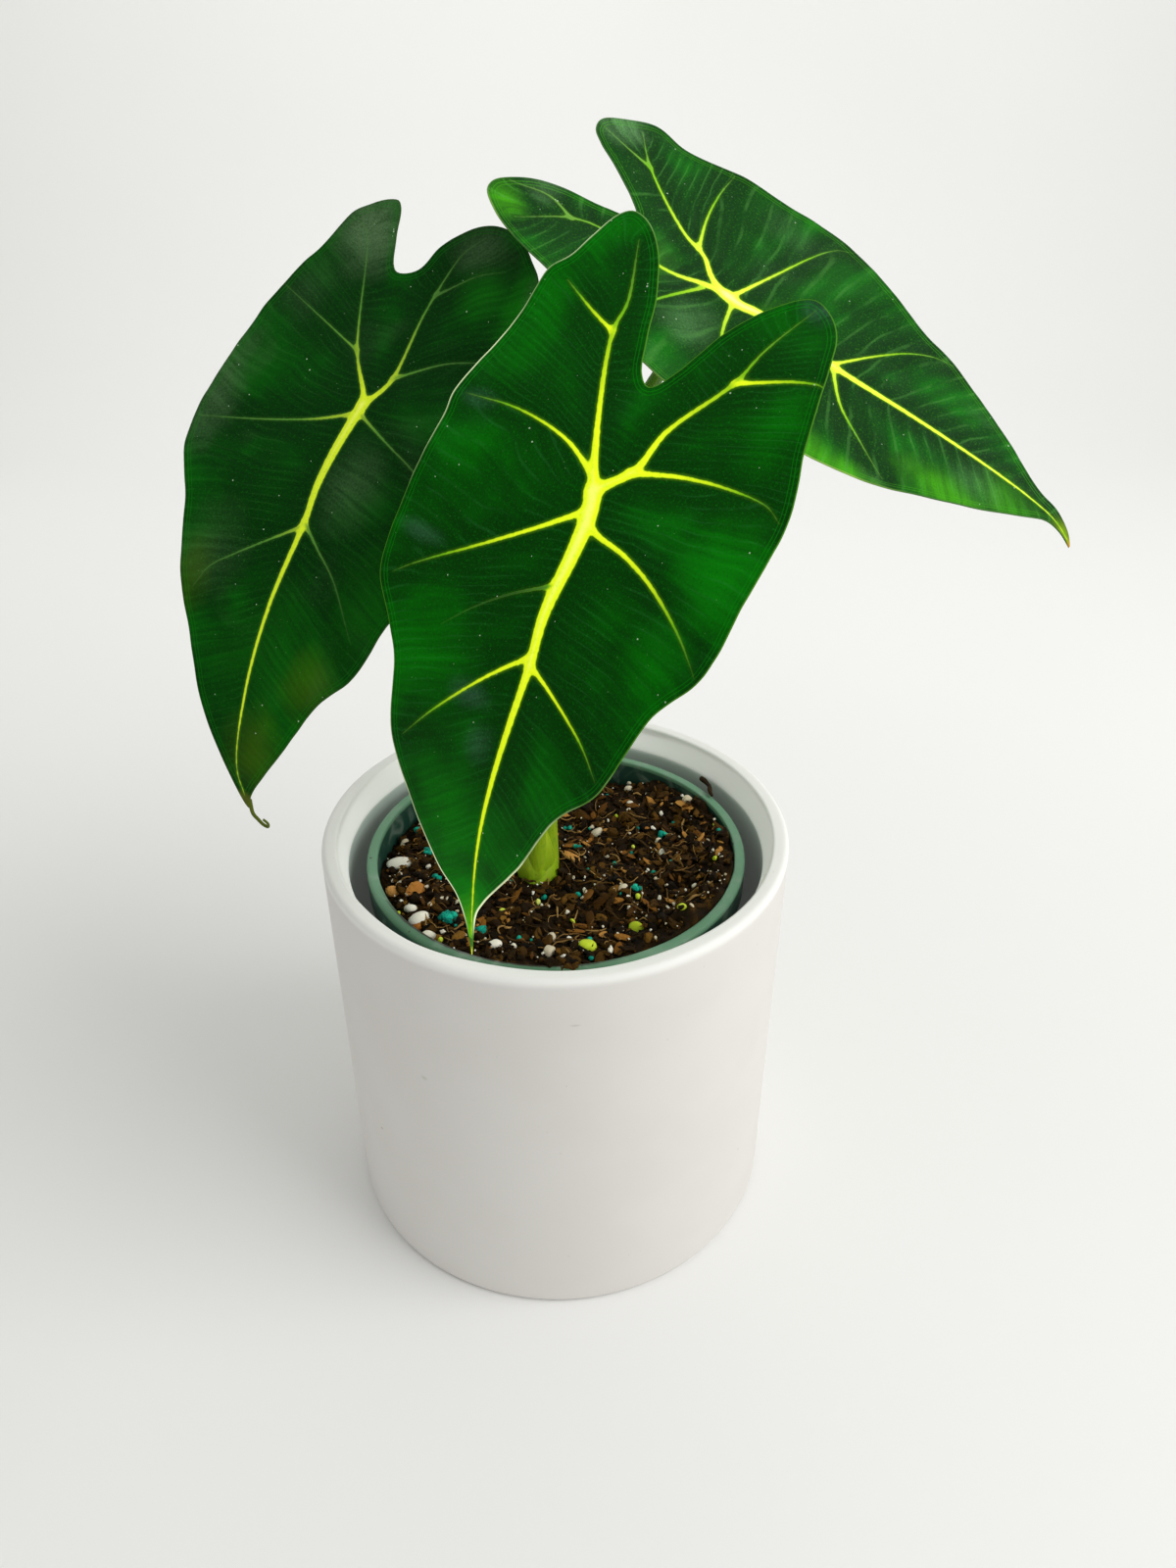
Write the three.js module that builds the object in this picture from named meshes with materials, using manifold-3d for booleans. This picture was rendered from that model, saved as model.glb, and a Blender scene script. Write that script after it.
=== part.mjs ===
// Potted frydek alocasia: three arrow-shaped leaves on tall petioles, rooted in a
// plastic nursery pot that stands inside a straight ceramic cachepot.
// Millimetres, +Z up, origin at the centre of the cachepot's foot, viewer at -Y.
import * as THREE from "three";
import { mergeVertices } from "three/addons/utils/BufferGeometryUtils.js";
import Module from "manifold-3d";

// Cachepot
const CACHEPOT_R = 63.5;
const CACHEPOT_H = 122;
const CACHEPOT_INNER_R = 57;
const CACHEPOT_FLOOR = 6;
const CACHEPOT_COVE = 5;
const CACHEPOT_SEGMENTS = 60;
const FOOT_ROUND = 2;
const LIP_ROUND = 1.6;
const LIP_GLAZE_R = 59.3;
const LIP_DIP = 0.3;
const LIP_DEPTH = 7.3;

// Nursery pot
const GAP = 0.3;
const NURSERY_FOOT_Z = CACHEPOT_FLOOR + GAP;
const NURSERY_RIM_Z = 114.3;
const NURSERY_RIM_R = 52.3;
const NURSERY_MOUTH_R = 49.4;
const NURSERY_BAND = 9;
const NURSERY_BASE_R = 39;
const NURSERY_WALL = 1.3;
const NURSERY_FLOOR = 2;
const NURSERY_STEP = 1.7;
const NURSERY_LIP = 0.5;
const NURSERY_TAPER = 0.2;
const NURSERY_SEGMENTS = 48;
const DRAIN_R = 3.5;
const DRAIN_COUNT = 6;
const DRAIN_CIRCLE_R = 24;
const DRAIN_SIDES = 10;

// Potting mix
const SOIL_LEVEL = 108.6;
const SOIL_SPOKES = 40;
const SOIL_RINGS = 9;
const SOIL_REACH = 49;
const MIX_GAP = 0.35;
const PEBBLE_RISE = 0.2;
const SCATTER_COUNT = 10;
const SCATTER_REACH = 42;
const SCATTER_SEED = 29;
const CROWN_CLEAR = 11;

// Leaves
const BLADE = 0.8;
const RIB_ROOT = 0.42;
const RIB_DEPTH = 1.1;
const RING_SHARES = [0.13, 0.26, 0.39, 0.52, 0.64, 0.76, 0.88, 1];
const MARGIN_STEP = 9;

// Petioles
const PETIOLE_FOOT_R = 2.8;
const PETIOLE_NECK_R = 1.35;
const HOLE_R = PETIOLE_FOOT_R + 0.35;
const ROOTED_Z = 90;
const PETIOLE_SIDES = 10;
const PETIOLE_STEPS = 15;
const CROWN_RISE = 5;
const NECK_RUN = 3;
const NECK_GAP = GAP + 0.15;
const FOOT_SHARE = 0.12;
const TAIL_ROOT = [0.75, 0.55];
const TAIL_TAPER = [0.3, 0.15];
const TAIL_SIDES = 6;
const TAIL_STEPS = 14;

const wasm = await Module();
wasm.setup();

const vec = (p) => new THREE.Vector3(p[0], p[1], p[2]);

// A repeatable sequence of draws between 0 and 1.
function draws(seed) {
  let state = seed >>> 0;
  return () => {
    state = (state + 0x6d2b79f5) >>> 0;
    let t = Math.imul(state ^ (state >>> 15), 1 | state);
    t = (t + Math.imul(t ^ (t >>> 7), 61 | t)) ^ t;
    return ((t ^ (t >>> 14)) >>> 0) / 4294967296;
  };
}

// Geometry to solid and back.
function solid(geometry) {
  const bare = new THREE.BufferGeometry();
  bare.setAttribute("position", geometry.getAttribute("position").clone());
  if (geometry.index) bare.setIndex(geometry.index.clone());
  const merged = mergeVertices(bare, 1e-4);
  return new wasm.Manifold(
    new wasm.Mesh({
      numProp: 3,
      vertProperties: new Float32Array(merged.getAttribute("position").array),
      triVerts: new Uint32Array(merged.index.array),
    }),
  );
}

function geometryOf(body) {
  const mesh = body.getMesh();
  const count = mesh.numVert;
  const stride = mesh.numProp;
  const places = new Float32Array(count * 3);
  for (let i = 0; i < count; i++) {
    places.set(mesh.vertProperties.subarray(i * stride, i * stride + 3), i * 3);
  }
  const geometry = new THREE.BufferGeometry();
  geometry.setAttribute("position", new THREE.BufferAttribute(places, 3));
  geometry.setIndex(new THREE.BufferAttribute(mesh.triVerts, 1));
  geometry.computeVertexNormals();
  return geometry;
}

function indexed(points, faces) {
  const geometry = new THREE.BufferGeometry();
  const flat = points.flatMap((p) => [p.x, p.y, p.z]);
  geometry.setAttribute("position", new THREE.Float32BufferAttribute(flat, 3));
  geometry.setIndex(faces);
  return geometry;
}

// Turned body about Z, from [radius, height] pairs that start and end on the axis.
function turned(profile, segments) {
  const outline = profile.map(([r, z]) => new THREE.Vector2(r, z));
  const lathe = new THREE.LatheGeometry(outline, segments);
  lathe.rotateX(Math.PI / 2);
  return solid(lathe);
}

// Straight round bar between two heights, for holes.
function bar(radius, low, high, x, y, sides) {
  const cylinder = new THREE.CylinderGeometry(radius, radius, high - low, sides);
  cylinder.rotateX(Math.PI / 2);
  cylinder.translate(x, y, (low + high) / 2);
  return solid(cylinder);
}

// Closed tube of rings along a list of points; each ring has `size(share)` as its radii.
function tube(points, sides, size) {
  const rings = [];
  let across = new THREE.Vector3(1, 0, 0);
  points.forEach((point, i) => {
    const before = points[Math.max(i - 1, 0)];
    const after = points[Math.min(i + 1, points.length - 1)];
    const along = after.clone().sub(before).normalize();
    across = across.clone().addScaledVector(along, -across.dot(along)).normalize();
    const up = along.clone().cross(across);
    const [wide, deep] = size(i / (points.length - 1));
    for (let k = 0; k < sides; k++) {
      const turn = (2 * Math.PI * k) / sides;
      rings.push(
        point
          .clone()
          .addScaledVector(across, wide * Math.cos(turn))
          .addScaledVector(up, deep * Math.sin(turn)),
      );
    }
  });
  const faces = [];
  for (let i = 0; i + 1 < points.length; i++) {
    for (let k = 0; k < sides; k++) {
      const a = i * sides + k;
      const b = i * sides + ((k + 1) % sides);
      faces.push(a, b, b + sides, a, b + sides, a + sides);
    }
  }
  const last = (points.length - 1) * sides;
  for (let k = 1; k + 1 < sides; k++) {
    faces.push(0, k + 1, k, last, last + k, last + k + 1);
  }
  return solid(indexed(rings, faces));
}

// Cachepot: straight wall, flat glazed lip, bevel down to the inner wall.
function cachepot() {
  const profile = [
    [0, 0],
    [CACHEPOT_R - FOOT_ROUND, 0],
    [CACHEPOT_R - FOOT_ROUND / 4, FOOT_ROUND / 3],
    [CACHEPOT_R, FOOT_ROUND],
    [CACHEPOT_R, CACHEPOT_H - LIP_ROUND],
    [CACHEPOT_R - LIP_ROUND / 3, CACHEPOT_H - LIP_ROUND / 4],
    [CACHEPOT_R - LIP_ROUND, CACHEPOT_H],
    [LIP_GLAZE_R, CACHEPOT_H - LIP_DIP],
    [CACHEPOT_INNER_R, CACHEPOT_H - LIP_DEPTH],
    [CACHEPOT_INNER_R, CACHEPOT_FLOOR + CACHEPOT_COVE],
    [CACHEPOT_INNER_R - CACHEPOT_COVE, CACHEPOT_FLOOR],
    [0, CACHEPOT_FLOOR],
  ];
  return turned(profile, CACHEPOT_SEGMENTS);
}

// Nursery pot: thin tapered wall, thicker band at the rim, drain holes in the floor.
function nurseryPot() {
  const bandZ = NURSERY_RIM_Z - NURSERY_BAND;
  const profile = [
    [0, NURSERY_FOOT_Z],
    [NURSERY_BASE_R - 1, NURSERY_FOOT_Z],
    [NURSERY_BASE_R, NURSERY_FOOT_Z + 1],
    [NURSERY_RIM_R - NURSERY_STEP, bandZ - 1],
    [NURSERY_RIM_R - NURSERY_TAPER, bandZ],
    [NURSERY_RIM_R, NURSERY_RIM_Z - 1],
    [NURSERY_RIM_R - 1, NURSERY_RIM_Z],
    [NURSERY_MOUTH_R + NURSERY_LIP, NURSERY_RIM_Z],
    [NURSERY_MOUTH_R, NURSERY_RIM_Z - NURSERY_LIP],
    [NURSERY_MOUTH_R - NURSERY_TAPER, bandZ - NURSERY_FLOOR],
    [NURSERY_BASE_R - NURSERY_WALL, NURSERY_FOOT_Z + NURSERY_FLOOR],
    [0, NURSERY_FOOT_Z + NURSERY_FLOOR],
  ];
  let pot = turned(profile, NURSERY_SEGMENTS);
  for (let i = 0; i < DRAIN_COUNT; i++) {
    const turn = (2 * Math.PI * i) / DRAIN_COUNT;
    const x = DRAIN_CIRCLE_R * Math.cos(turn);
    const y = DRAIN_CIRCLE_R * Math.sin(turn);
    const below = NURSERY_FOOT_Z - NURSERY_FLOOR;
    const above = NURSERY_FOOT_Z + 2 * NURSERY_FLOOR;
    pot = pot.subtract(bar(DRAIN_R, below, above, x, y, DRAIN_SIDES));
  }
  return pot;
}

// Inner radius of the nursery pot at a height, less the gap to the mix.
function mixRadius(z) {
  const low = NURSERY_FOOT_Z + NURSERY_FLOOR;
  const high = NURSERY_RIM_Z - NURSERY_BAND - NURSERY_FLOOR;
  const share = (z - low) / (high - low);
  const foot = NURSERY_BASE_R - NURSERY_WALL;
  const top = NURSERY_MOUTH_R - NURSERY_TAPER;
  return Math.min(foot + (top - foot) * share, top) - MIX_GAP;
}

// Lumpy top of the mix: full at the front, sunk at the back and on the left.
function soilHeight(x, y) {
  const reach = Math.hypot(x, y) / SOIL_REACH;
  const slope = -0.034 * y + 0.018 * x;
  const lumps =
    0.8 * Math.sin(x / 4.7 + 0.6) * Math.cos(y / 5.3 - 0.4) +
    0.6 * Math.sin((x + y) / 7.1 + 1.9) +
    0.5 * Math.cos((x - 1.6 * y) / 6.2 + 0.3);
  const mound = 1.2 * Math.exp(-(Math.hypot(x + 5, y + 5) ** 2) / 180);
  const edge = -1.6 * Math.max(0, reach - 0.82) / 0.18;
  return SOIL_LEVEL + slope + lumps + mound + edge;
}

// Pieces on the mix: [x, y, half length, half width, half height, turn in degrees].
const PIECES = [
  [-44.2, -0.2, 3.9, 1.9, 1.5, 10],
  [-44.2, 11.2, 2.1, 1.4, 1.3, 90],
  [-35.5, -25.2, 2.8, 2.1, 1.7, 35],
  [-38.2, -21.3, 1.8, 1.4, 1.3, 0],
  [-14.9, -38.5, 2, 1.6, 1.5, 20],
  [-0.5, -34.5, 1.6, 1.4, 1.3, 0],
  [-0.8, -41.2, 1.9, 1.5, 1.4, 70],
  [11.4, 14.5, 2, 1.5, 1.4, 30],
  [38.3, 25.2, 1.6, 1.4, 1.3, 15],
  [21.2, 38.7, 1.5, 1.4, 1.3, 40],
  [21.3, 30.7, 1.5, 1.3, 1.2, 0],
  [29, 9, 1.5, 1.4, 1.2, 50],
  [30, 2.4, 1.6, 1.4, 1.2, 0],
  [18, -15.6, 1.7, 1.4, 1.3, 25],
  [21.4, -31.6, 2.4, 1.5, 1.3, 150],
  [-32.2, -31.8, 2, 1.5, 1.3, 15],
  [-44, -12.6, 2.1, 1.6, 1.4, 0],
  [-36, -27.4, 1.6, 1.3, 1.2, 0],
  [-37.5, -14.4, 2.4, 1.9, 1.4, 30],
  [-27.5, -26.4, 3.1, 2.6, 1.8, 15],
  [-18.8, -32.9, 1.6, 1.4, 1.4, 60],
  [22, -14.4, 1.6, 1.4, 1.3, 0],
  [6, 4.1, 1.5, 1.4, 1.3, 0],
  [3, 19, 1.5, 1.4, 1.2, 0],
  [31, 12.5, 1.5, 1.3, 1.2, 0],
  [8.6, -40, 2.4, 2, 1.6, 10],
  [32.8, -29.3, 1.6, 1.4, 1.2, 30],
];

// The scatter that fills the mix between those pieces.
function scatter() {
  const draw = draws(SCATTER_SEED);
  const made = [];
  while (made.length < SCATTER_COUNT) {
    const turn = 2 * Math.PI * draw();
    const out = SCATTER_REACH * Math.sqrt(draw());
    const x = out * Math.cos(turn);
    const y = out * Math.sin(turn);
    const size = 1.5 + 1.3 * draw();
    const clear = [...PIECES, ...made].every(
      (p) => Math.hypot(p[0] - x, p[1] - y) > p[2] + size + 0.8,
    );
    const offCrown = Math.hypot(x + 5, y + 4.5) > CROWN_CLEAR;
    if (clear && offCrown) made.push([x, y, size * 1.3, size, 1.2 + draw() * 0.5, 180 * draw()]);
  }
  return made;
}

// A pebble with few sides, sunk two fifths into the surface under it.
function pebble([x, y, long, wide, tall, turn]) {
  const stone = new THREE.IcosahedronGeometry(1, 0);
  stone.scale(long, wide, tall);
  stone.rotateZ((turn * Math.PI) / 180);
  stone.translate(x, y, soilHeight(x, y) + PEBBLE_RISE * tall);
  return solid(stone);
}

// Where each petiole is rooted, one plain hole each.
const ROOTS = {
  front: [-5, -8.2],
  left: [-8.1, -2.9],
  back: [-2, -2.9],
};

function pottingMix() {
  const points = [];
  const faces = [];
  const floor = NURSERY_FOOT_Z + NURSERY_FLOOR + GAP;
  points.push(new THREE.Vector3(0, 0, soilHeight(0, 0)));
  for (let ring = 1; ring <= SOIL_RINGS; ring++) {
    for (let k = 0; k < SOIL_SPOKES; k++) {
      const turn = (2 * Math.PI * (k + 0.5 * (ring % 2))) / SOIL_SPOKES;
      const r = (mixRadius(SOIL_LEVEL) * ring) / SOIL_RINGS;
      const x = r * Math.cos(turn);
      const y = r * Math.sin(turn);
      points.push(new THREE.Vector3(x, y, soilHeight(x, y)));
    }
  }
  const shift = 0.5 * (SOIL_RINGS % 2);
  for (const z of [NURSERY_RIM_Z - NURSERY_BAND - NURSERY_FLOOR - GAP, floor]) {
    for (let k = 0; k < SOIL_SPOKES; k++) {
      const turn = (2 * Math.PI * (k + shift)) / SOIL_SPOKES;
      const r = mixRadius(z);
      points.push(new THREE.Vector3(r * Math.cos(turn), r * Math.sin(turn), z));
    }
  }
  points.push(new THREE.Vector3(0, 0, floor));
  const at = (ring, k) => 1 + (ring - 1) * SOIL_SPOKES + (k + SOIL_SPOKES) % SOIL_SPOKES;
  for (let k = 0; k < SOIL_SPOKES; k++) {
    faces.push(0, at(1, k), at(1, k + 1));
    for (let ring = 1; ring < SOIL_RINGS; ring++) {
      const lead = ring % 2;
      const inner = at(ring, k);
      const next = at(ring, k + 1);
      const outer = at(ring + 1, k + lead);
      const outerNext = at(ring + 1, k + 1 + lead);
      faces.push(inner, outer, next, next, outer, outerNext);
    }
    for (let ring = SOIL_RINGS; ring < SOIL_RINGS + 2; ring++) {
      const a = at(ring, k);
      const b = at(ring, k + 1);
      const c = at(ring + 1, k);
      const d = at(ring + 1, k + 1);
      faces.push(a, c, b, b, c, d);
    }
    const base = SOIL_RINGS + 2;
    faces.push(points.length - 1, at(base, k + 1), at(base, k));
  }
  let mix = solid(indexed(points, faces));
  for (const piece of [...PIECES, ...scatter()]) mix = mix.add(pebble(piece));
  for (const [x, y] of Object.values(ROOTS)) {
    mix = mix.subtract(bar(HOLE_R, ROOTED_Z - GAP, NURSERY_RIM_Z + 10, x, y, 14));
  }
  return mix;
}

// Leaves. Each has its vein junction in space, the way its tip points, the way its upper
// face looks, six bend terms, a margin wave, and an outline in leaf millimetres: x to the
// leaf's right, y to its tip, the junction at 0, 0. The outline runs from the sinus round
// the right-hand lobe to the tip and back round the left-hand lobe.
const LEAVES = {
  front: {
    junction: [9.7, -50.8, 232.8],
    tipward: [-0.443, -0.431, -0.786],
    face: [-0.364, -0.715, 0.597],
    bend: [-0.28, -0.147, -0.215, 0.095, 0.091, -0.111],
    wave: [1.2, 46, 0.6],
    outline: [
      [-0.5, -22], [2, -24], [7.5, -39.5], [12.5, -48.5], [17.5, -53], [21.5, -54],
      [24, -52], [28, -41], [31, -37], [32.3, -27], [36.8, -8], [36.3, -2.5],
      [38, 12], [39, 24.5], [37.8, 31], [31.5, 39.5], [28, 46], [25.5, 60],
      [17.5, 72], [11, 79.5], [8, 82.5], [3, 86], [0, 91], [-2.2, 98.3],
      [-2.8, 93], [-3.5, 87], [-12.5, 72.5], [-18.5, 59.5], [-25.5, 51], [-30.5, 33],
      [-36, 25], [-37.7, 19], [-38, 9.5], [-37.5, -8.5], [-34.5, -19.5], [-31, -35.5],
      [-28.5, -43], [-25, -46.8], [-20.5, -48.5], [-15.5, -45.5], [-8.5, -36.5], [-4, -26.5],
    ],
    veins: {
      midrib: [[0, 0], [-1.4, 6], [-1.7, 12], [-1.1, 25], [-2, 36], [-1.1, 72], [-2, 94]],
      rightLobe: [[0, 0], [3.5, -8], [12, -29.5], [12.3, -36], [17, -48.5]],
      rightFork: [[12, -29.5], [26, -36]],
      leftLobe: [[0, 0], [-6, -6.5], [-8.5, -16], [-15.5, -28], [-18, -36.5], [-22, -46]],
      leftFork: [[-15.5, -28], [-20, -29.5], [-31, -32.5]],
      rightUpper: [[1, -3], [10, -7], [22.5, -9], [34, -8]],
      leftUpper: [[-6, -6], [-16, -8.5], [-26.5, -9.5], [-35, -7.5]],
      rightMiddle: [[-0.5, 4], [16, 16.5], [34, 29.5]],
      leftMiddle: [[-1.6, 6.5], [-12, 9], [-20, 12.5], [-34.5, 23.5]],
      rightLower: [[-2, 33], [8, 42], [16.5, 51.5], [22.5, 59]],
      leftLower: [[-2, 35], [-8, 37.5], [-18.5, 44], [-24, 49]],
    },
  },
  left: {
    junction: [-41.2, -1.8, 235.8],
    tipward: [-0.389, -0.564, -0.728],
    face: [-0.264, -0.689, 0.675],
    bend: [-0.083, -0.162, 0.118, 0.063, 0.033, 0.146],
    wave: [1.3, 42, 2.2],
    outline: [
      [5.3, -31.5], [6.8, -33], [9, -39.5], [10.4, -45.5], [12, -47.5], [14.5, -47.5],
      [19, -45.5], [23, -43], [28, -34], [31.5, -28.5], [34.5, -17.5], [35.5, -10],
      [39.5, 4.5], [40.5, 10.5], [38.5, 20.5], [32, 32.5], [27, 49.5], [20, 61.5],
      [12.5, 75.5], [4.5, 85.5], [-3, 92.5], [-3.3, 89.5], [-9.5, 77.5], [-15.5, 65],
      [-22, 57], [-26.5, 44.5], [-31, 36], [-35, 26], [-37.5, 13], [-38, 2],
      [-37, -10], [-34.5, -23], [-30.5, -35.5], [-27.5, -39], [-22, -44], [-15, -45.7],
      [-9, -44], [-3, -39], [0.5, -32.8],
    ],
    veins: {
      midrib: [[0, 0], [1.8, 12.6], [2, 29], [3.1, 49.4], [2.8, 70], [1, 86]],
      rightLobe: [[0, 0], [1.5, -5], [7, -11.5], [16.5, -37], [21, -41]],
      rightFork: [[7, -11.5], [20, -17], [33, -22.5]],
      leftLobe: [[0, 0], [-4.5, -7.5], [-6, -24], [-8, -34], [-13, -42.5]],
      leftFork: [[-6.3, -27], [-15, -34], [-21, -36.5]],
      leftShoulder: [[-4.5, -7.5], [-15, -13.5], [-27, -17], [-34, -17]],
      rightMiddle: [[1, 3], [21, 9.5], [38, 13.5]],
      leftMiddle: [[0.3, 3], [-18.5, 11], [-34, 20]],
      rightLower: [[2.3, 31], [15.5, 41], [22.5, 50.5]],
      leftLower: [[2.2, 29.5], [-10, 39], [-19, 50.5]],
    },
    tail: [
      [-2.6, 90.5, 0], [-3.9, 93.2, 0], [-5.3, 93.9, 0.2], [-7, 94.6, 0.3], [-8.6, 94.6, 0.8],
      [-9, 93.9, 1.7], [-8, 93.4, 2.3],
    ],
  },
  back: {
    junction: [39.4, 10.2, 256.4],
    tipward: [0.812, -0.364, -0.456],
    face: [0.256, -0.48, 0.839],
    bend: [0.057, -0.094, 0.219, 0.09, -0.024, 0.004],
    wave: [1.2, 44, 4],
    hook: [84, 9, 4.5],
    outline: [
      [-2.5, -27], [1.5, -32.5], [6.5, -42.5], [10.5, -47], [15, -50], [19.5, -51.5],
      [23, -50.8], [25.3, -48], [27.5, -42], [29.7, -30.5], [32, -18], [33, -3],
      [34.5, 4], [34.5, 15], [32.2, 26], [29, 36.5], [24.5, 51.5], [21, 58],
      [11.5, 72], [5.5, 79.5], [0.7, 85.5], [-0.9, 89.5], [-2, 93.2], [-3.8, 92],
      [-5, 88], [-6.3, 81], [-14, 68], [-24.5, 49], [-26.5, 40], [-30, 32],
      [-37.5, 18], [-40, 11], [-39, 3], [-36.5, -5], [-35.3, -18], [-32, -31],
      [-31.3, -38.5], [-26, -43.7], [-19, -48], [-15, -47], [-13, -44], [-10.5, -38],
    ],
    veins: {
      midrib: [[0, 0], [-0.9, 8.2], [0, 28], [-1, 52], [-2.2, 84]],
      leftLobe: [[0, 0], [-6.5, -10], [-8.5, -16.5], [-19, -33], [-26, -40]],
      leftFork: [[-7.5, -12], [-17, -15.5], [-34, -18]],
      rightLobe: [[0, 0], [4.5, -12], [8, -30], [11.5, -35.5], [21, -43]],
      rightFork: [[11.5, -35.5], [11, -42], [16, -49]],
      rightUpper: [[2.5, -5], [14, -10], [29.5, -14]],
      leftMiddle: [[-0.6, 2], [-17, 5.5], [-32, 9.5], [-37, 12.5]],
      rightMiddle: [[0.3, 2], [12, 5.5], [23, 12], [31, 21]],
      leftLower: [[-0.5, 29], [-11, 34.5], [-18.5, 40.5], [-23, 49]],
      rightLower: [[-0.2, 27], [9.5, 35], [15.5, 43], [21.5, 52]],
    },
  },
};

// Width and depth of each kind of vein where it starts.
const RIBS = {
  midrib: [3.4, RIB_DEPTH],
  rightLobe: [2.4, 0.8],
  leftLobe: [2.4, 0.8],
  lateral: [1.5, 0.45],
};

// Height of the upper face over the leaf's own plane.
function leafHeight(leaf, x, y) {
  const [tip, droop, lobe, cup, cupTaper, twist] = leaf.bend;
  const [size, length, phase] = leaf.wave;
  const fore = Math.max(y, 0);
  const aft = Math.min(y, 0);
  const side = 0.9 * Math.sign(x);
  const ripple = size * (x / 38) ** 2 * Math.sin((2 * Math.PI * y) / length + phase + side);
  return (
    (tip * fore ** 2 + lobe * aft ** 2 + cup * x ** 2 + twist * x * y) / 100 +
    (droop * fore ** 3 + cupTaper * x ** 2 * y) / 1e4 +
    ripple
  );
}

// Placement of a leaf's own x, y and face directions in space.
function leafFrame(leaf) {
  const tipward = vec(leaf.tipward).normalize();
  const face = vec(leaf.face);
  face.addScaledVector(tipward, -face.dot(tipward)).normalize();
  const right = tipward.clone().cross(face);
  return { origin: vec(leaf.junction), right, tipward, face };
}

// Point at leaf x, y, `down` millimetres below the upper face, square to it.
function leafPoint(leaf, frame, x, y, down) {
  const step = 0.05;
  const slopeX = (leafHeight(leaf, x + step, y) - leafHeight(leaf, x - step, y)) / (2 * step);
  const slopeY = (leafHeight(leaf, x, y + step) - leafHeight(leaf, x, y - step)) / (2 * step);
  const square = new THREE.Vector3(-slopeX, -slopeY, 1).normalize();
  const px = x - down * square.x;
  const py = y - down * square.y;
  const pz = leafHeight(leaf, x, y) - down * square.z;
  return frame.origin
    .clone()
    .addScaledVector(frame.right, px)
    .addScaledVector(frame.tipward, py)
    .addScaledVector(frame.face, pz);
}

// The outline's points with the long stretches between them halved along a smooth curve.
function marginOf(leaf) {
  const corners = leaf.outline.map(([x, y]) => new THREE.Vector3(x, y, 0));
  const curve = new THREE.CatmullRomCurve3(corners, true, "centripetal");
  const margin = [];
  corners.forEach((corner, i) => {
    const next = corners[(i + 1) % corners.length];
    const parts = Math.max(1, Math.round(corner.distanceTo(next) / MARGIN_STEP));
    for (let k = 0; k < parts; k++) margin.push(curve.getPoint((i + k / parts) / corners.length));
  });
  return margin;
}

// Sideways hook of the drip tip: none before `start`, `size` after another `length`.
function hooked(leaf, x, y) {
  const [start, length, size] = leaf.hook ?? [0, 1, 0];
  return [x + size * (Math.max(0, y - start) / length) ** 2, y];
}

// Blade: rings of the margin drawn in towards the junction, alike on both faces.
function blade(leaf, frame) {
  const margin = marginOf(leaf);
  const count = margin.length;
  const points = [];
  for (const down of [0, BLADE]) {
    points.push(leafPoint(leaf, frame, 0, 0, down));
    for (const share of RING_SHARES) {
      margin.forEach((m) => {
        const [x, y] = hooked(leaf, m.x * share, m.y * share);
        points.push(leafPoint(leaf, frame, x, y, down));
      });
    }
  }
  const layer = 1 + count * RING_SHARES.length;
  const faces = [];
  const put = (a, b, c) => {
    faces.push(a, b, c, layer + a, layer + c, layer + b);
  };
  for (let k = 0; k < count; k++) {
    const next = (k + 1) % count;
    put(0, 1 + k, 1 + next);
    for (let ring = 0; ring + 1 < RING_SHARES.length; ring++) {
      const a = 1 + ring * count + k;
      const b = 1 + ring * count + next;
      put(a, a + count, b + count);
      put(a, b + count, b);
    }
    const rim = 1 + (RING_SHARES.length - 1) * count;
    faces.push(rim + k, layer + rim + k, rim + next);
    faces.push(rim + next, layer + rim + k, layer + rim + next);
  }
  return solid(indexed(points, faces));
}

// Raised vein on the underside: a three-sided ridge, its two upper edges inside the blade.
function rib(leaf, frame, line, wide, deep) {
  const plan = line.map(([x, y]) => new THREE.Vector3(x, y, 0));
  const curve = new THREE.CatmullRomCurve3(plan, false, "centripetal");
  const steps = Math.max(3, Math.round(curve.getLength() / 8));
  const points = [];
  for (let i = 0; i <= steps; i++) {
    const share = i / steps;
    const at = curve.getPointAt(share);
    const along = curve.getTangentAt(share);
    const half = (wide * (1 - 0.75 * share)) / 2;
    const drop = BLADE + deep * (1 - 0.8 * share);
    points.push(
      leafPoint(leaf, frame, at.x + along.y * half, at.y - along.x * half, RIB_ROOT),
      leafPoint(leaf, frame, at.x - along.y * half, at.y + along.x * half, RIB_ROOT),
      leafPoint(leaf, frame, at.x, at.y, drop),
    );
  }
  const faces = [0, 1, 2];
  for (let i = 0; i < steps; i++) {
    for (let k = 0; k < 3; k++) {
      const a = i * 3 + k;
      const b = i * 3 + ((k + 1) % 3);
      faces.push(a, a + 3, b, b, a + 3, b + 3);
    }
  }
  const last = steps * 3;
  faces.push(last, last + 2, last + 1);
  return solid(indexed(points, faces));
}

// Thin curled end that hangs from a leaf's tip.
function tail(leaf, frame) {
  const places = leaf.tail.map(([x, y, lift]) => {
    const point = leafPoint(leaf, frame, x, y, BLADE / 2);
    return point.addScaledVector(frame.face, lift);
  });
  const curve = new THREE.CatmullRomCurve3(places, false, "centripetal");
  return tube(curve.getPoints(TAIL_STEPS), TAIL_SIDES, (share) =>
    TAIL_ROOT.map((root, i) => root - TAIL_TAPER[i] * share),
  );
}

function leafSolid(leaf) {
  const frame = leafFrame(leaf);
  let body = blade(leaf, frame);
  for (const [name, line] of Object.entries(leaf.veins)) {
    const [wide, deep] = RIBS[name] ?? RIBS.lateral;
    body = body.add(rib(leaf, frame, line, wide, deep));
  }
  if (leaf.tail) body = body.add(tail(leaf, frame));
  return body;
}

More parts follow.
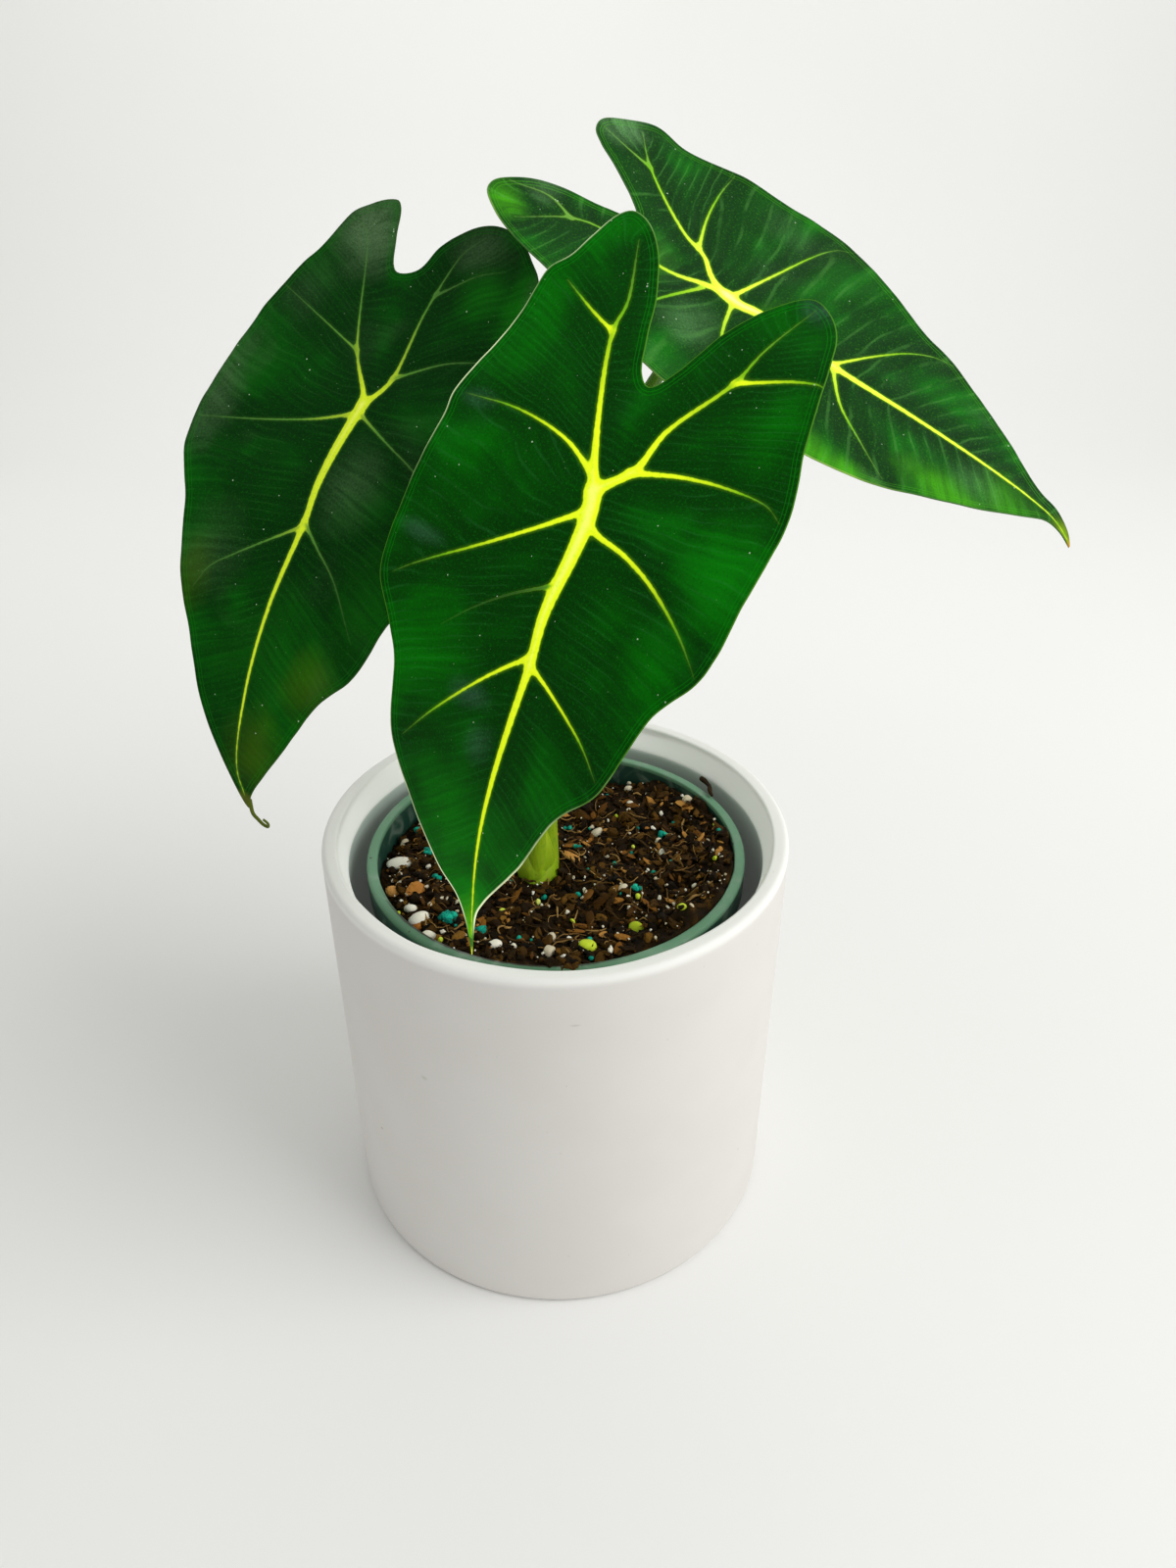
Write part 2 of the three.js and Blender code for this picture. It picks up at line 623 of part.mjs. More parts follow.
// Petioles: foot upright in its hole, neck square behind the junction.
const RISE = {
  front: [[-5.8, -9, 165], [4, -34, 212]],
  left: [[-9.2, -2, 170], [-30, 4, 214]],
  back: [[-3.4, -2, 165], [8, 12, 232]],
};

function petiole(name) {
  const leaf = LEAVES[name];
  const frame = leafFrame(leaf);
  const [x, y] = ROOTS[name];
  const foot = new THREE.Vector3(x, y, ROOTED_Z);
  const crown = new THREE.Vector3(x, y, SOIL_LEVEL + CROWN_RISE);
  const neck = leafPoint(leaf, frame, 0, 0, BLADE + RIB_DEPTH + NECK_GAP);
  const [low, high] = RISE[name].map(vec);
  const bend = neck.clone().addScaledVector(frame.face, -NECK_RUN);
  const curve = new THREE.CubicBezierCurve3(crown, low, high, bend);
  const points = [foot, ...curve.getSpacedPoints(PETIOLE_STEPS), neck];
  return tube(points, PETIOLE_SIDES, (share) => {
    const slim = PETIOLE_FOOT_R + (PETIOLE_NECK_R - PETIOLE_FOOT_R) * Math.min(1, share * 1.25) ** 0.8;
    const r = share < FOOT_SHARE ? PETIOLE_FOOT_R : Math.min(slim + 0.3, PETIOLE_FOOT_R);
    return [r, r];
  });
}

function piece(name, body, colour, roughness) {
  const material = new THREE.MeshStandardMaterial({ color: colour, roughness });
  const mesh = new THREE.Mesh(geometryOf(body), material);
  mesh.name = name;
  return mesh;
}

const group = new THREE.Group();
group.name = "potted_frydek_alocasia";
group.add(piece("cachepot", cachepot(), 0xe9e4e1, 0.55));
group.add(piece("nursery_pot", nurseryPot(), 0x2f6b57, 0.5));
group.add(piece("potting_mix", pottingMix(), 0x3b2418, 0.95));
for (const name of Object.keys(LEAVES)) {
  group.add(piece(`petiole_${name}`, petiole(name), 0x7f9a2e, 0.5));
  group.add(piece(`leaf_${name}`, leafSolid(LEAVES[name]), 0x17501c, 0.45));
}

export default group;
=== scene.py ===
"""Look of the potted frydek alocasia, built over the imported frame.

Places and sizes are written in millimetres, as in the part's own source, and each mesh
is brought into metres when it is made. +Z is up and the viewer stands at -Y.
"""

import logging
import math
from collections.abc import Callable, Iterable, Mapping, Sequence
from dataclasses import dataclass, field
from enum import Enum
from functools import cache, cached_property

import bpy
import numpy as np
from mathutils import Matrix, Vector
from mathutils.geometry import delaunay_2d_cdt


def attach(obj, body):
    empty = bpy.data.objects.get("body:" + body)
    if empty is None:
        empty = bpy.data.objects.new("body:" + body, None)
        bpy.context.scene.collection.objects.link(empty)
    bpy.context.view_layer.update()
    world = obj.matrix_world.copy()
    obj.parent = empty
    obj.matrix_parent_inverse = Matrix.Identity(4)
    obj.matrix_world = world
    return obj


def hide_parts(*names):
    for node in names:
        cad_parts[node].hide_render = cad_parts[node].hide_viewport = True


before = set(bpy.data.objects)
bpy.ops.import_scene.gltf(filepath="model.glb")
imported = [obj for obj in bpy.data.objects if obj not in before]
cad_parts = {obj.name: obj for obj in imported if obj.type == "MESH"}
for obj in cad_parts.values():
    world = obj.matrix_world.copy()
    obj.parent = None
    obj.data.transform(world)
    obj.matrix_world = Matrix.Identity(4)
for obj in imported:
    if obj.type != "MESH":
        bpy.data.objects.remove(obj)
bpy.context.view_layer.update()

LOG = logging.getLogger("alocasia")
MM = 0.001

Point2 = tuple[float, float]
Point3 = tuple[float, float, float]
Colour = tuple[float, float, float]
Stops = tuple[tuple[float, Colour], ...]
BLACK = (0.0, 0.0, 0.0)
Faces = list[tuple[int, ...]]
Socket = bpy.types.NodeSocket
Value = Socket | Sequence[float] | float


class Slot(Enum):
    """Material slots of the record, one carried by each piece."""

    CACHEPOT = "cachepot"
    NURSERY_POT = "nursery_pot"
    POTTING_MIX = "potting_mix"
    PETIOLE = "petiole"
    LEAF = "leaf"


class Field(Enum):
    """Values stored at the points of a mesh for its material to read."""

    VEIN_GAP = "vein_gap"
    VEIN_TONE = "vein_tone"
    RIM_GAP = "rim_gap"
    VEINLET = "veinlet"
    UNDER = "under"
    PLACE = "leaf_place"
    TINT = "tint"
    ALONG = "along"
    ROUND = "round"


# Plain geometry


def srgb(red: float, green: float, blue: float) -> Colour:
    """Colour as it is seen, in parts of 255, as scene-linear values.

    Args:
        red: Red part.
        green: Green part.
        blue: Blue part.

    Returns:
        The three linear values.
    """

    def linear(part: float) -> float:
        share = part / 255
        return share / 12.92 if share <= 0.04045 else ((share + 0.055) / 1.055) ** 2.4

    return (linear(red), linear(green), linear(blue))


def stops(*colours: Point3, at: Sequence[float] = (0.0, 0.5, 1.0)) -> Stops:
    """Stops of a ramp from colours in parts of 255 and their places."""
    return tuple((place, srgb(*colour)) for place, colour in zip(at, colours))


def smoothstep(low: float, high: float, value: np.ndarray) -> np.ndarray:
    """Smooth rise of each value from 0 at low to 1 at high, which may be below low."""
    share = np.clip((value - low) / (high - low), 0, 1)
    return share * share * (3 - 2 * share)


def unit(ways: np.ndarray) -> np.ndarray:
    """The same ways with a length of 1."""
    return ways / np.maximum(np.linalg.norm(ways, axis=-1, keepdims=True), 1e-9)


def ring(radius: float, z: float, turn: np.ndarray) -> np.ndarray:
    """Level ring of points about the upright axis at the given angles."""
    return np.column_stack([radius * np.cos(turn), radius * np.sin(turn), np.full(len(turn), z)])


def round_turn(steps: int) -> np.ndarray:
    """Even angles once round, in radians."""
    return np.linspace(0, 2 * math.pi, steps, endpoint=False)


def spread(share: np.ndarray, values: Sequence[float]) -> np.ndarray:
    """Value at each share of the way along a row of evenly spread values."""
    return np.interp(share, np.linspace(0, 1, len(values)), values)


def rolling(points: np.ndarray, length: float, seed: int, layers: int = 7) -> np.ndarray:
    """Smooth seeded unevenness between about -1 and 1.

    Args:
        points: Points, one a row.
        length: Wavelength of the coarsest waves.
        seed: Seed of the draw.
        layers: How many waves are laid over each other.

    Returns:
        One value for each point.
    """
    draw = np.random.default_rng(seed)
    total = np.zeros(len(points))
    for _ in range(layers):
        way = unit(draw.normal(size=points.shape[1]))
        wave = 2 * math.pi / (length * (0.55 + 0.9 * draw.random()))
        total += np.sin(points @ way * wave + draw.random() * 2 * math.pi)
    return total / math.sqrt(layers) / 1.4


def smooth_line(
    points: Sequence[Sequence[float]] | np.ndarray, closed: bool, spacing: float
) -> np.ndarray:
    """Centripetal spline through the points, sampled at an even spacing.

    Args:
        points: Points that the line passes through.
        closed: Whether the last point joins the first.
        spacing: Wanted distance between samples.

    Returns:
        Sampled points, one a row; a closed line doesn't repeat its first point.
    """
    corner = np.asarray(points, dtype=float)
    count = len(corner)
    spans = count if closed else count - 1
    fine = 24
    pieces = []
    for i in range(spans):
        p1 = corner[i]
        p2 = corner[(i + 1) % count]
        p0 = corner[i - 1] if closed or i else 2 * p1 - p2
        p3 = corner[(i + 2) % count] if closed or i + 2 < count else 2 * p2 - p1
        t0, t1, t2 = (max(np.linalg.norm(b - a), 1e-6) ** 0.5 for a, b in ((p0, p1), (p1, p2), (p2, p3)))
        m1 = ((p1 - p0) / t0 - (p2 - p0) / (t0 + t1) + (p2 - p1) / t1) * t1
        m2 = ((p2 - p1) / t1 - (p3 - p1) / (t1 + t2) + (p3 - p2) / t2) * t1
        t = np.linspace(0, 1, fine, endpoint=False)[:, None]
        bow = (3 * (p2 - p1) - 2 * m1 - m2) * t**2 + (2 * (p1 - p2) + m1 + m2) * t**3
        pieces.append(p1 + m1 * t + bow)
    line = np.vstack([*pieces, corner[:1] if closed else corner[-1:]])
    run = np.concatenate([[0], np.cumsum(np.linalg.norm(np.diff(line, axis=0), axis=1))])
    steps = max(2, round(run[-1] / spacing))
    places = np.linspace(0, run[-1], steps + 1)
    even = np.column_stack([np.interp(places, run, line[:, k]) for k in range(line.shape[1])])
    return even[:-1] if closed else even


def nearest_on_line(points: np.ndarray, line: np.ndarray) -> tuple[np.ndarray, np.ndarray]:
    """Distance from each point to a line of straight segments.

    Args:
        points: Flat points, one a row.
        line: Corners of the line, one a row.

    Returns:
        The distances, and the share of the line's length at the nearest places.
    """
    start = line[:-1]
    way = line[1:] - start
    length = np.maximum(np.linalg.norm(way, axis=1), 1e-9)
    run = np.concatenate([[0], np.cumsum(length)])
    best = np.full(len(points), np.inf)
    share = np.zeros(len(points))
    for i in range(len(start)):
        offset = points - start[i]
        along = np.clip(offset @ way[i] / length[i] ** 2, 0, 1)
        gap = np.linalg.norm(offset - along[:, None] * way[i], axis=1)
        nearer = gap < best
        best[nearer] = gap[nearer]
        share[nearer] = (run[i] + along[nearer] * length[i]) / run[-1]
    return best, share


def inside(points: np.ndarray, loop: np.ndarray) -> np.ndarray:
    """Which flat points lie inside a closed loop.

    Args:
        points: Flat points, one a row.
        loop: Corners of the loop, one a row.

    Returns:
        True for each point inside.
    """
    within = np.zeros(len(points), dtype=bool)
    for a, b in zip(loop, np.roll(loop, -1, axis=0)):
        if a[1] == b[1]:
            continue
        spans = (a[1] > points[:, 1]) != (b[1] > points[:, 1])
        reach = a[0] + (points[:, 1] - a[1]) * (b[0] - a[0]) / (b[1] - a[1])
        within ^= spans & (points[:, 0] < reach)
    return within


def turning(loop: np.ndarray) -> float:
    """1 for a flat loop that runs anticlockwise, -1 for one that runs clockwise."""
    after = np.roll(loop, -1, axis=0)
    return math.copysign(1, np.sum(loop[:, 0] * after[:, 1] - loop[:, 1] * after[:, 0]))


def outward(loop: np.ndarray) -> np.ndarray:
    """Ways out of a flat loop, one for each of its points."""
    along = np.roll(loop, -1, axis=0) - np.roll(loop, 1, axis=0)
    return unit(np.column_stack([along[:, 1], -along[:, 0]])) * turning(loop)


def chain(start: int, count: int, closed: bool) -> list[tuple[int, int]]:
    """Edges along a row of points, back to its start if it is closed."""
    return [(start + i, start + (i + 1) % count) for i in range(count if closed else count - 1)]


def thinned(cloud: np.ndarray, fixed: np.ndarray, size: float) -> np.ndarray:
    """Leave out the points that share a small square with a fixed or an earlier one.

    Args:
        cloud: Flat points, one a row.
        fixed: Flat points that come first.
        size: Side of the squares.

    Returns:
        The points that are left.
    """
    taken = {tuple(square) for square in (fixed // size).astype(int).tolist()}
    left = []
    for point, square in zip(cloud, (cloud // size).astype(int).tolist()):
        if tuple(square) not in taken:
            taken.add(tuple(square))
            left.append(point)
    return np.array(left)


def triangulated(flat: np.ndarray, edges: Sequence[tuple[int, int]]) -> tuple[np.ndarray, Faces]:
    """Flat anticlockwise triangles between points.

    Args:
        flat: Flat points, one a row.
        edges: Edges that the triangles keep.

    Returns:
        The points and the faces.
    """
    verts, _, triangles, *_ = delaunay_2d_cdt([Vector(p) for p in flat], edges, [], 1, 1e-5)
    places = np.array([tuple(v) for v in verts])
    faces = []
    for face in triangles:
        (ax, ay), (bx, by), (cx, cy) = places[list(face)]
        area = (bx - ax) * (cy - ay) - (by - ay) * (cx - ax)
        faces.append(tuple(face) if area > 0 else tuple(reversed(face)))
    return places, faces


def band_faces(rows: int, wide: int, base: int = 0, closed: bool = True) -> Faces:
    """Faces between neighbouring rows of points.

    Args:
        rows: Number of rows.
        wide: Points in each row.
        base: Index of the first point.
        closed: Whether the last point of a row joins the first.

    Returns:
        The faces.
    """
    faces = []
    for row in range(rows - 1):
        start = base + row * wide
        for k in range(wide if closed else wide - 1):
            a, b = start + k, start + (k + 1) % wide
            faces.append((a, b, b + wide, a + wide))
    return faces


def flipped(faces: Faces) -> Faces:
    """The same faces, looking the other way."""
    return [face[::-1] for face in faces]


def tube(
    path: np.ndarray, radius: Callable[[float, float], float], sides: int, base: int = 0
) -> tuple[np.ndarray, Faces]:
    """Closed tube along a path.

    Args:
        path: Points of the centreline.
        radius: Radius from the share along the path and the angle round it.
        sides: Points in each ring.
        base: Index of the first point.

    Returns:
        The points and the faces.
    """
    count = len(path)
    across = np.array([1.0, 0.0, 0.0])
    rings = []
    for i in range(count):
        along = unit(path[min(i + 1, count - 1)] - path[max(i - 1, 0)])
        across = unit(across - across @ along * along)
        up = np.cross(along, across)
        for k in range(sides):
            turn = 2 * math.pi * k / sides
            r = radius(i / (count - 1), turn)
            rings.append(path[i] + r * (across * math.cos(turn) + up * math.sin(turn)))
    faces = band_faces(count, sides, base)
    faces.append(tuple(base + k for k in reversed(range(sides))))
    faces.append(tuple(base + (count - 1) * sides + k for k in range(sides)))
    return np.array(rings), faces


def capped(rows: Sequence[np.ndarray], first: float, last: float) -> tuple[np.ndarray, Faces]:
    """Closed body of rings about the upright axis, with a point on the axis at each end.

    Args:
        rows: Rings with the same number of points.
        first: Height of the point before them.
        last: Height of the point after them.

    Returns:
        The points and the faces.
    """
    wide = len(rows[0])
    points = np.vstack([[(0, 0, first)], *rows, [(0, 0, last)]])
    faces = band_faces(len(rows), wide, 1)
    end = 1 + (len(rows) - 1) * wide
    for k in range(wide):
        n = (k + 1) % wide
        faces += [(0, 1 + n, 1 + k), (end + k, end + n, len(points) - 1)]
    return points, faces


def arc(centre: Point2, radius: float, start: float, end: float, steps: int) -> list[Point2]:
    """Points of a round corner in a turned profile.

    Args:
        centre: Radius and height of the corner's centre.
        radius: Radius of the round.
        start: First angle in degrees.
        end: Last angle in degrees.
        steps: Steps between them.

    Returns:
        The points of the round.
    """
    turns = np.radians(np.linspace(start, end, steps + 1))
    return [(centre[0] + radius * math.cos(a), centre[1] + radius * math.sin(a)) for a in turns]


@cache
def ball(level: int) -> tuple[np.ndarray, np.ndarray]:
    """Unit ball of triangles, the raw form of grains and lumps.

    Args:
        level: How often the faces of a body with 20 sides are quartered.

    Returns:
        The points and the faces.
    """
    if level == 0:
        g = (1 + 5**0.5) / 2
        corners = [
            [-1, g, 0], [1, g, 0], [-1, -g, 0], [1, -g, 0], [0, -1, g], [0, 1, g],
            [0, -1, -g], [0, 1, -g], [g, 0, -1], [g, 0, 1], [-g, 0, -1], [-g, 0, 1],
        ]
        sides = [
            [0, 11, 5], [0, 5, 1], [0, 1, 7], [0, 7, 10], [0, 10, 11],
            [1, 5, 9], [5, 11, 4], [11, 10, 2], [10, 7, 6], [7, 1, 8],
            [3, 9, 4], [3, 4, 2], [3, 2, 6], [3, 6, 8], [3, 8, 9],
            [4, 9, 5], [2, 4, 11], [6, 2, 10], [8, 6, 7], [9, 8, 1],
        ]
        return np.array(corners) / math.hypot(1, g), np.array(sides)
    points, faces = ball(level - 1)
    places = list(points)
    middles: dict[tuple[int, int], int] = {}

    def middle(a: int, b: int) -> int:
        key = (min(a, b), max(a, b))
        if key not in middles:
            middles[key] = len(places)
            places.append(unit(places[a] + places[b]))
        return middles[key]

    finer = []
    for a, b, c in faces:
        ab, bc, ca = middle(a, b), middle(b, c), middle(c, a)
        finer += [[a, ab, ca], [b, bc, ab], [c, ca, bc], [ab, bc, ca]]
    return np.array(places), np.array(finer)


def uneven_lump(
    draw: np.random.Generator, centre: Point3, size: Point3, turn: float, rough: float, level: int
) -> tuple[np.ndarray, np.ndarray]:
    """Lump of matter.

    Args:
        draw: Source of its unevenness.
        centre: Middle of the lump.
        size: Half length, half width and half height.
        turn: Turn about the upright axis in degrees.
        rough: Share of its size by which its skin goes in and out.
        level: Level of detail.

    Returns:
        The points and the faces.
    """
    points, faces = ball(level)
    skin = points * (1 + rough * rolling(points, 1.7, int(draw.integers(1 << 30))))[:, None]
    if rough > 0.1:
        skin = skin * (1 + 0.45 * rough * draw.normal(size=(len(points), 1)))
    tilt = draw.normal(scale=0.25, size=2)
    skin = skin * np.asarray(size)
    skin[:, 2] += skin[:, :2] @ tilt
    c, s = math.cos(math.radians(turn)), math.sin(math.radians(turn))
    spin = np.array([[c, s, 0], [-s, c, 0], [0, 0, 1]])
    return skin @ spin + np.asarray(centre), faces


# Pieces


def make_object(name: str, points: np.ndarray, faces: Faces, finish: "Finish") -> bpy.types.Object:
    """Smooth mesh in the scene.

    Args:
        name: Its name.
        points: Points in millimetres.
        faces: Faces as point numbers.
        finish: Its finish.

    Returns:
        The object.
    """
    mesh = bpy.data.meshes.new(name)
    mesh.from_pydata((points * MM).tolist(), [], faces)
    mesh.validate()
    mesh.polygons.foreach_set("use_smooth", [True] * len(mesh.polygons))
    mesh.materials.append(finish.material())
    made = bpy.data.objects.new(name, mesh)
    bpy.context.scene.collection.objects.link(made)
    return made


@dataclass
class Piece:
    """One visible piece while it is being made.

    Attributes:
        name: Name of the piece.
        slot: Material slot of the record.
        replaces: Names of the frame's nodes that it stands for.
        points: Points in millimetres.
        faces: Faces as point numbers.
        fields: Values at the points.
        sharp: Angle in degrees above which an edge stays sharp.
    """

    name: str
    slot: Slot
    replaces: tuple[str, ...]
    points: np.ndarray
    faces: Faces
    fields: dict[Field, np.ndarray] = field(default_factory=dict)
    sharp: float = 50

    def build(self, finish: "Finish") -> None:
        """Make the mesh, hang it on the part's body and hide the frame's nodes that it stands for.

        Args:
            finish: Finish of the piece.
        """
        piece = make_object(self.name, self.points, self.faces, finish)
        mesh = piece.data
        mesh.set_sharp_from_angle(angle=math.radians(self.sharp))
        for key, values in self.fields.items():
            kind, target = ("FLOAT_VECTOR", "vector") if values.ndim > 1 else ("FLOAT", "value")
            stored = mesh.attributes.new(key.value, kind, "POINT")
            stored.data.foreach_set(target, values.ravel().astype(np.float32))
        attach(piece, "root")
        if self.replaces:
            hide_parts(*self.replaces)
        LOG.info("%s: %d faces", self.name, len(mesh.polygons))


@dataclass
class Heap:
    """Small bodies gathered into one mesh, each with a tint of its own."""

    points: list[np.ndarray] = field(default_factory=list)
    faces: Faces = field(default_factory=list)
    tints: list[np.ndarray] = field(default_factory=list)
    count: int = 0

    def add(self, points: np.ndarray, faces: Iterable[Sequence[int]], tint: float) -> None:
        """Add one body.

        Args:
            points: Its points in millimetres.
            faces: Its faces, numbered from 0.
            tint: Its tint from 0 to 1.
        """
        self.faces.extend(tuple(int(i) + self.count for i in face) for face in faces)
        self.points.append(points)
        self.tints.append(np.full(len(points), tint))
        self.count += len(points)

    def lump(self, draw: np.random.Generator, *form: Sequence[float] | float) -> None:
        """Add an uneven lump of the given form, its tint drawn too."""
        self.add(*uneven_lump(draw, *form), float(draw.random()))

    def piece(self, name: str, sharp: float) -> Piece:
        """The gathered bodies as one piece of the mix.

        Args:
            name: Name of the piece.
            sharp: Angle above which edges stay sharp.

        Returns:
            The piece.
        """
        fields = {Field.TINT: np.concatenate(self.tints)}
        node = ("potting_mix",)
        return Piece(name, Slot.POTTING_MIX, node, np.vstack(self.points), self.faces, fields, sharp)


# Shading


class Graph:
    """Adds and links shader nodes in one tree."""

    def __init__(self, tree: bpy.types.NodeTree) -> None:
        self.tree = tree

    def add(
        self, kind: str, given: Mapping[str | int, Value] | None = None, **settings: object
    ) -> bpy.types.Node:
        """Add a node.

        Args:
            kind: Node type.
            given: Values of its inputs, by name or number.
            **settings: Values of its own fields.

        Returns:
            The node.
        """
        node = self.tree.nodes.new(kind)
        for key, value in settings.items():
            setattr(node, key, value)
        for key, value in (given or {}).items():
            self.feed(node.inputs[key], value)
        return node

    def feed(self, socket: Socket, value: Value) -> None:
        """Link a socket into another, or set its value.

        Args:
            socket: Input to feed.
            value: Output socket, number or colour.
        """
        if isinstance(value, Socket):
            self.tree.links.new(value, socket)
        elif isinstance(value, tuple) and len(socket.default_value) > len(value):
            socket.default_value = (*value, 1.0)
        else:
            socket.default_value = value

    def math(self, operation: str, a: Value, b: Value = 0.0) -> Socket:
        """Result of one sum of two values."""
        return self.add("ShaderNodeMath", {0: a, 1: b}, operation=operation).outputs[0]

    def times(self, a: Value, b: Value) -> Socket:
        """One value times another."""
        return self.math("MULTIPLY", a, b)

    def plus(self, a: Value, b: Value) -> Socket:
        """One value plus another."""
        return self.math("ADD", a, b)

    def minus(self, a: Value, b: Value) -> Socket:
        """One value less another."""
        return self.math("SUBTRACT", a, b)

    def more(self, a: Value, b: Value) -> Socket:
        """The larger of two values."""
        return self.math("MAXIMUM", a, b)

    def near(self, value: Value, middle: float, reach: float) -> Socket:
        """1 where the value is at the middle, 0 from the reach on."""
        return self.remap(self.math("ABSOLUTE", self.minus(value, middle)), reach, 0.0)

    def split(self, vector: Value) -> Sequence[Socket]:
        """The three parts of a vector."""
        return self.add("ShaderNodeSeparateXYZ", {0: vector}).outputs

    def vector(self, operation: str, *values: Value) -> Sequence[Socket]:
        """Outputs of one sum of vectors."""
        return self.add("ShaderNodeVectorMath", dict(enumerate(values)), operation=operation).outputs

    def mix(self, factor: Value, a: Value, b: Value) -> Socket:
        """Mix of two colours; the factor is the share of the second."""
        return self.add("ShaderNodeMix", {"Factor": factor, 6: a, 7: b}, data_type="RGBA").outputs[2]

    def remap(
        self, value: Value, low: float, high: float, to_low: float = 0.0, to_high: float = 1.0
    ) -> Socket:
        """Clamped smooth map from one range, which may fall, to another.

        Args:
            value: Value to map.
            low: Start of its range.
            high: End of its range.
            to_low: Result at the start.
            to_high: Result at the end.

        Returns:
            The mapped value.
        """
        ends = (low, high, to_low, to_high) if low < high else (high, low, to_high, to_low)
        given = dict(enumerate((value, *ends)))
        return self.add("ShaderNodeMapRange", given, interpolation_type="SMOOTHSTEP").outputs[0]

    def ramp(self, value: Value, stops: Stops) -> Socket:
        """Colour from a value.

        Args:
            value: Value from 0 to 1.
            stops: Places and colours.

        Returns:
            The colour.
        """
        node = self.add("ShaderNodeValToRGB", {0: value})
        elements = node.color_ramp.elements
        while len(elements) < len(stops):
            elements.new(0.5)
        for element, (place, colour) in zip(elements, stops):
            element.position = place
            element.color = (*colour, 1.0)
        return node.outputs[0]

    def noise(self, vector: Value, scale: Value, detail: float = 2.0, distortion: float = 0.0) -> Socket:
        """Soft noise between 0 and 1."""
        given = {"Vector": vector, "Scale": scale, "Detail": detail, "Distortion": distortion}
        return self.add("ShaderNodeTexNoise", given).outputs["Fac"]

    def bump(self, height: Value, depth: float, strength: float) -> Socket:
        """Normal from a height; the depth of a height of 1 is in millimetres."""
        given = {"Height": height, "Distance": depth * MM, "Strength": strength}
        return self.add("ShaderNodeBump", given).outputs[0]

    def read(self, key: Field, output: str = "Fac") -> Socket:
        """One output of the value stored at the mesh's points."""
        return self.add("ShaderNodeAttribute", attribute_name=key.value).outputs[output]

    def place(self) -> Socket:
        """Place on the object in millimetres."""
        where = self.add("ShaderNodeTexCoord").outputs["Object"]
        return self.vector("MULTIPLY", where, (1 / MM, 1 / MM, 1 / MM))[0]

    def use(self, group: bpy.types.NodeTree, **inputs: Value) -> Sequence[Socket]:
        """Outputs of a node group with the given inputs."""
        return self.add("ShaderNodeGroup", inputs, node_tree=group).outputs


class Effects:
    """Shader node groups that more than one material uses, each built once."""

    @staticmethod
    def _start(
        name: str, places: str, values: str, results: str
    ) -> tuple[Graph, bpy.types.NodeOutputs, bpy.types.NodeInputs]:
        tree = bpy.data.node_groups.new(name, "ShaderNodeTree")
        sockets = [(label, "INPUT", "NodeSocketVector") for label in places.split()]
        sockets += [(label, "INPUT", "NodeSocketFloat") for label in values.split()]
        sockets += [(label, "OUTPUT", "NodeSocketFloat") for label in results.split()]
        for label, way, kind in sockets:
            tree.interface.new_socket(name=label, in_out=way, socket_type=kind)
        graph = Graph(tree)
        return graph, graph.add("NodeGroupInput").outputs, graph.add("NodeGroupOutput").inputs

    @cached_property
    def blob(self) -> bpy.types.NodeTree:
        """Soft round patch: 1 in its middle, 0 outside, with an uneven edge."""
        graph, given, result = self._start("Soft patch", "Place Centre Size", "", "Mask")
        offset = graph.vector("SUBTRACT", given["Place"], given["Centre"])[0]
        reach = graph.vector("LENGTH", graph.vector("DIVIDE", offset, given["Size"])[0])["Value"]
        uneven = graph.noise(given["Place"], 0.12, 3.0, 0.4)
        graph.feed(result["Mask"], graph.remap(graph.plus(reach, graph.times(uneven, 0.7)), 1.35, 0.35))
        return graph.tree

    @cached_property
    def veinlets(self) -> bpy.types.NodeTree:
        """Fine lines that follow a stored phase, the swell between them and streaks along them."""
        graph, given, result = self._start("Veinlets", "Place", "Phase Spacing", "Line Swell Streak")
        wander = graph.times(graph.noise(given["Place"], 0.07, 1.0), 3.0)
        phase = graph.plus(given["Phase"], wander)
        turns = graph.math("DIVIDE", graph.times(phase, 2 * math.pi), given["Spacing"])
        wave = graph.math("SINE", turns)
        broken = graph.remap(graph.noise(given["Place"], 0.11, 2.0), 0.38, 0.62)
        graph.feed(result["Line"], graph.times(graph.remap(wave, 0.8, 1.0), broken))
        graph.feed(result["Swell"], graph.times(wave, 0.5))
        across = graph.add("ShaderNodeCombineXYZ", {"X": graph.times(phase, 0.8)}).outputs[0]
        along = graph.vector("MULTIPLY_ADD", given["Place"], (0.06, 0.06, 0.06), across)[0]
        graph.feed(result["Streak"], graph.noise(along, 1.0, 3.0, 0.65))
        return graph.tree

    @cached_property
    def specks(self) -> bpy.types.NodeTree:
        """Scattered fine specks."""
        graph, given, result = self._start("Specks", "Place", "Scale Size Share", "Mask")
        cells = graph.add("ShaderNodeTexVoronoi", {"Vector": given["Place"], "Scale": given["Scale"]}).outputs
        tone = graph.add("ShaderNodeSeparateColor", {0: cells["Color"]}).outputs
        chosen = graph.math("LESS_THAN", tone[0], given["Share"])
        close = graph.math("LESS_THAN", cells["Distance"], graph.times(given["Size"], tone[1]))
        graph.feed(result["Mask"], graph.times(chosen, close))
        return graph.tree

    @cached_property
    def grain(self) -> bpy.types.NodeTree:
        """Coarse and fine unevenness of a surface, as one height, and the coarse part alone."""
        graph, given, result = self._start("Grain", "Place", "Scale", "Height Broad")
        broad = graph.noise(given["Place"], graph.times(given["Scale"], 0.08), 2.0)
        fine = graph.noise(given["Place"], given["Scale"], 3.0)
        graph.feed(result["Height"], graph.plus(graph.times(fine, 0.5), graph.times(broad, 0.5)))
        graph.feed(result["Broad"], broad)
        return graph.tree


EFFECTS = Effects()


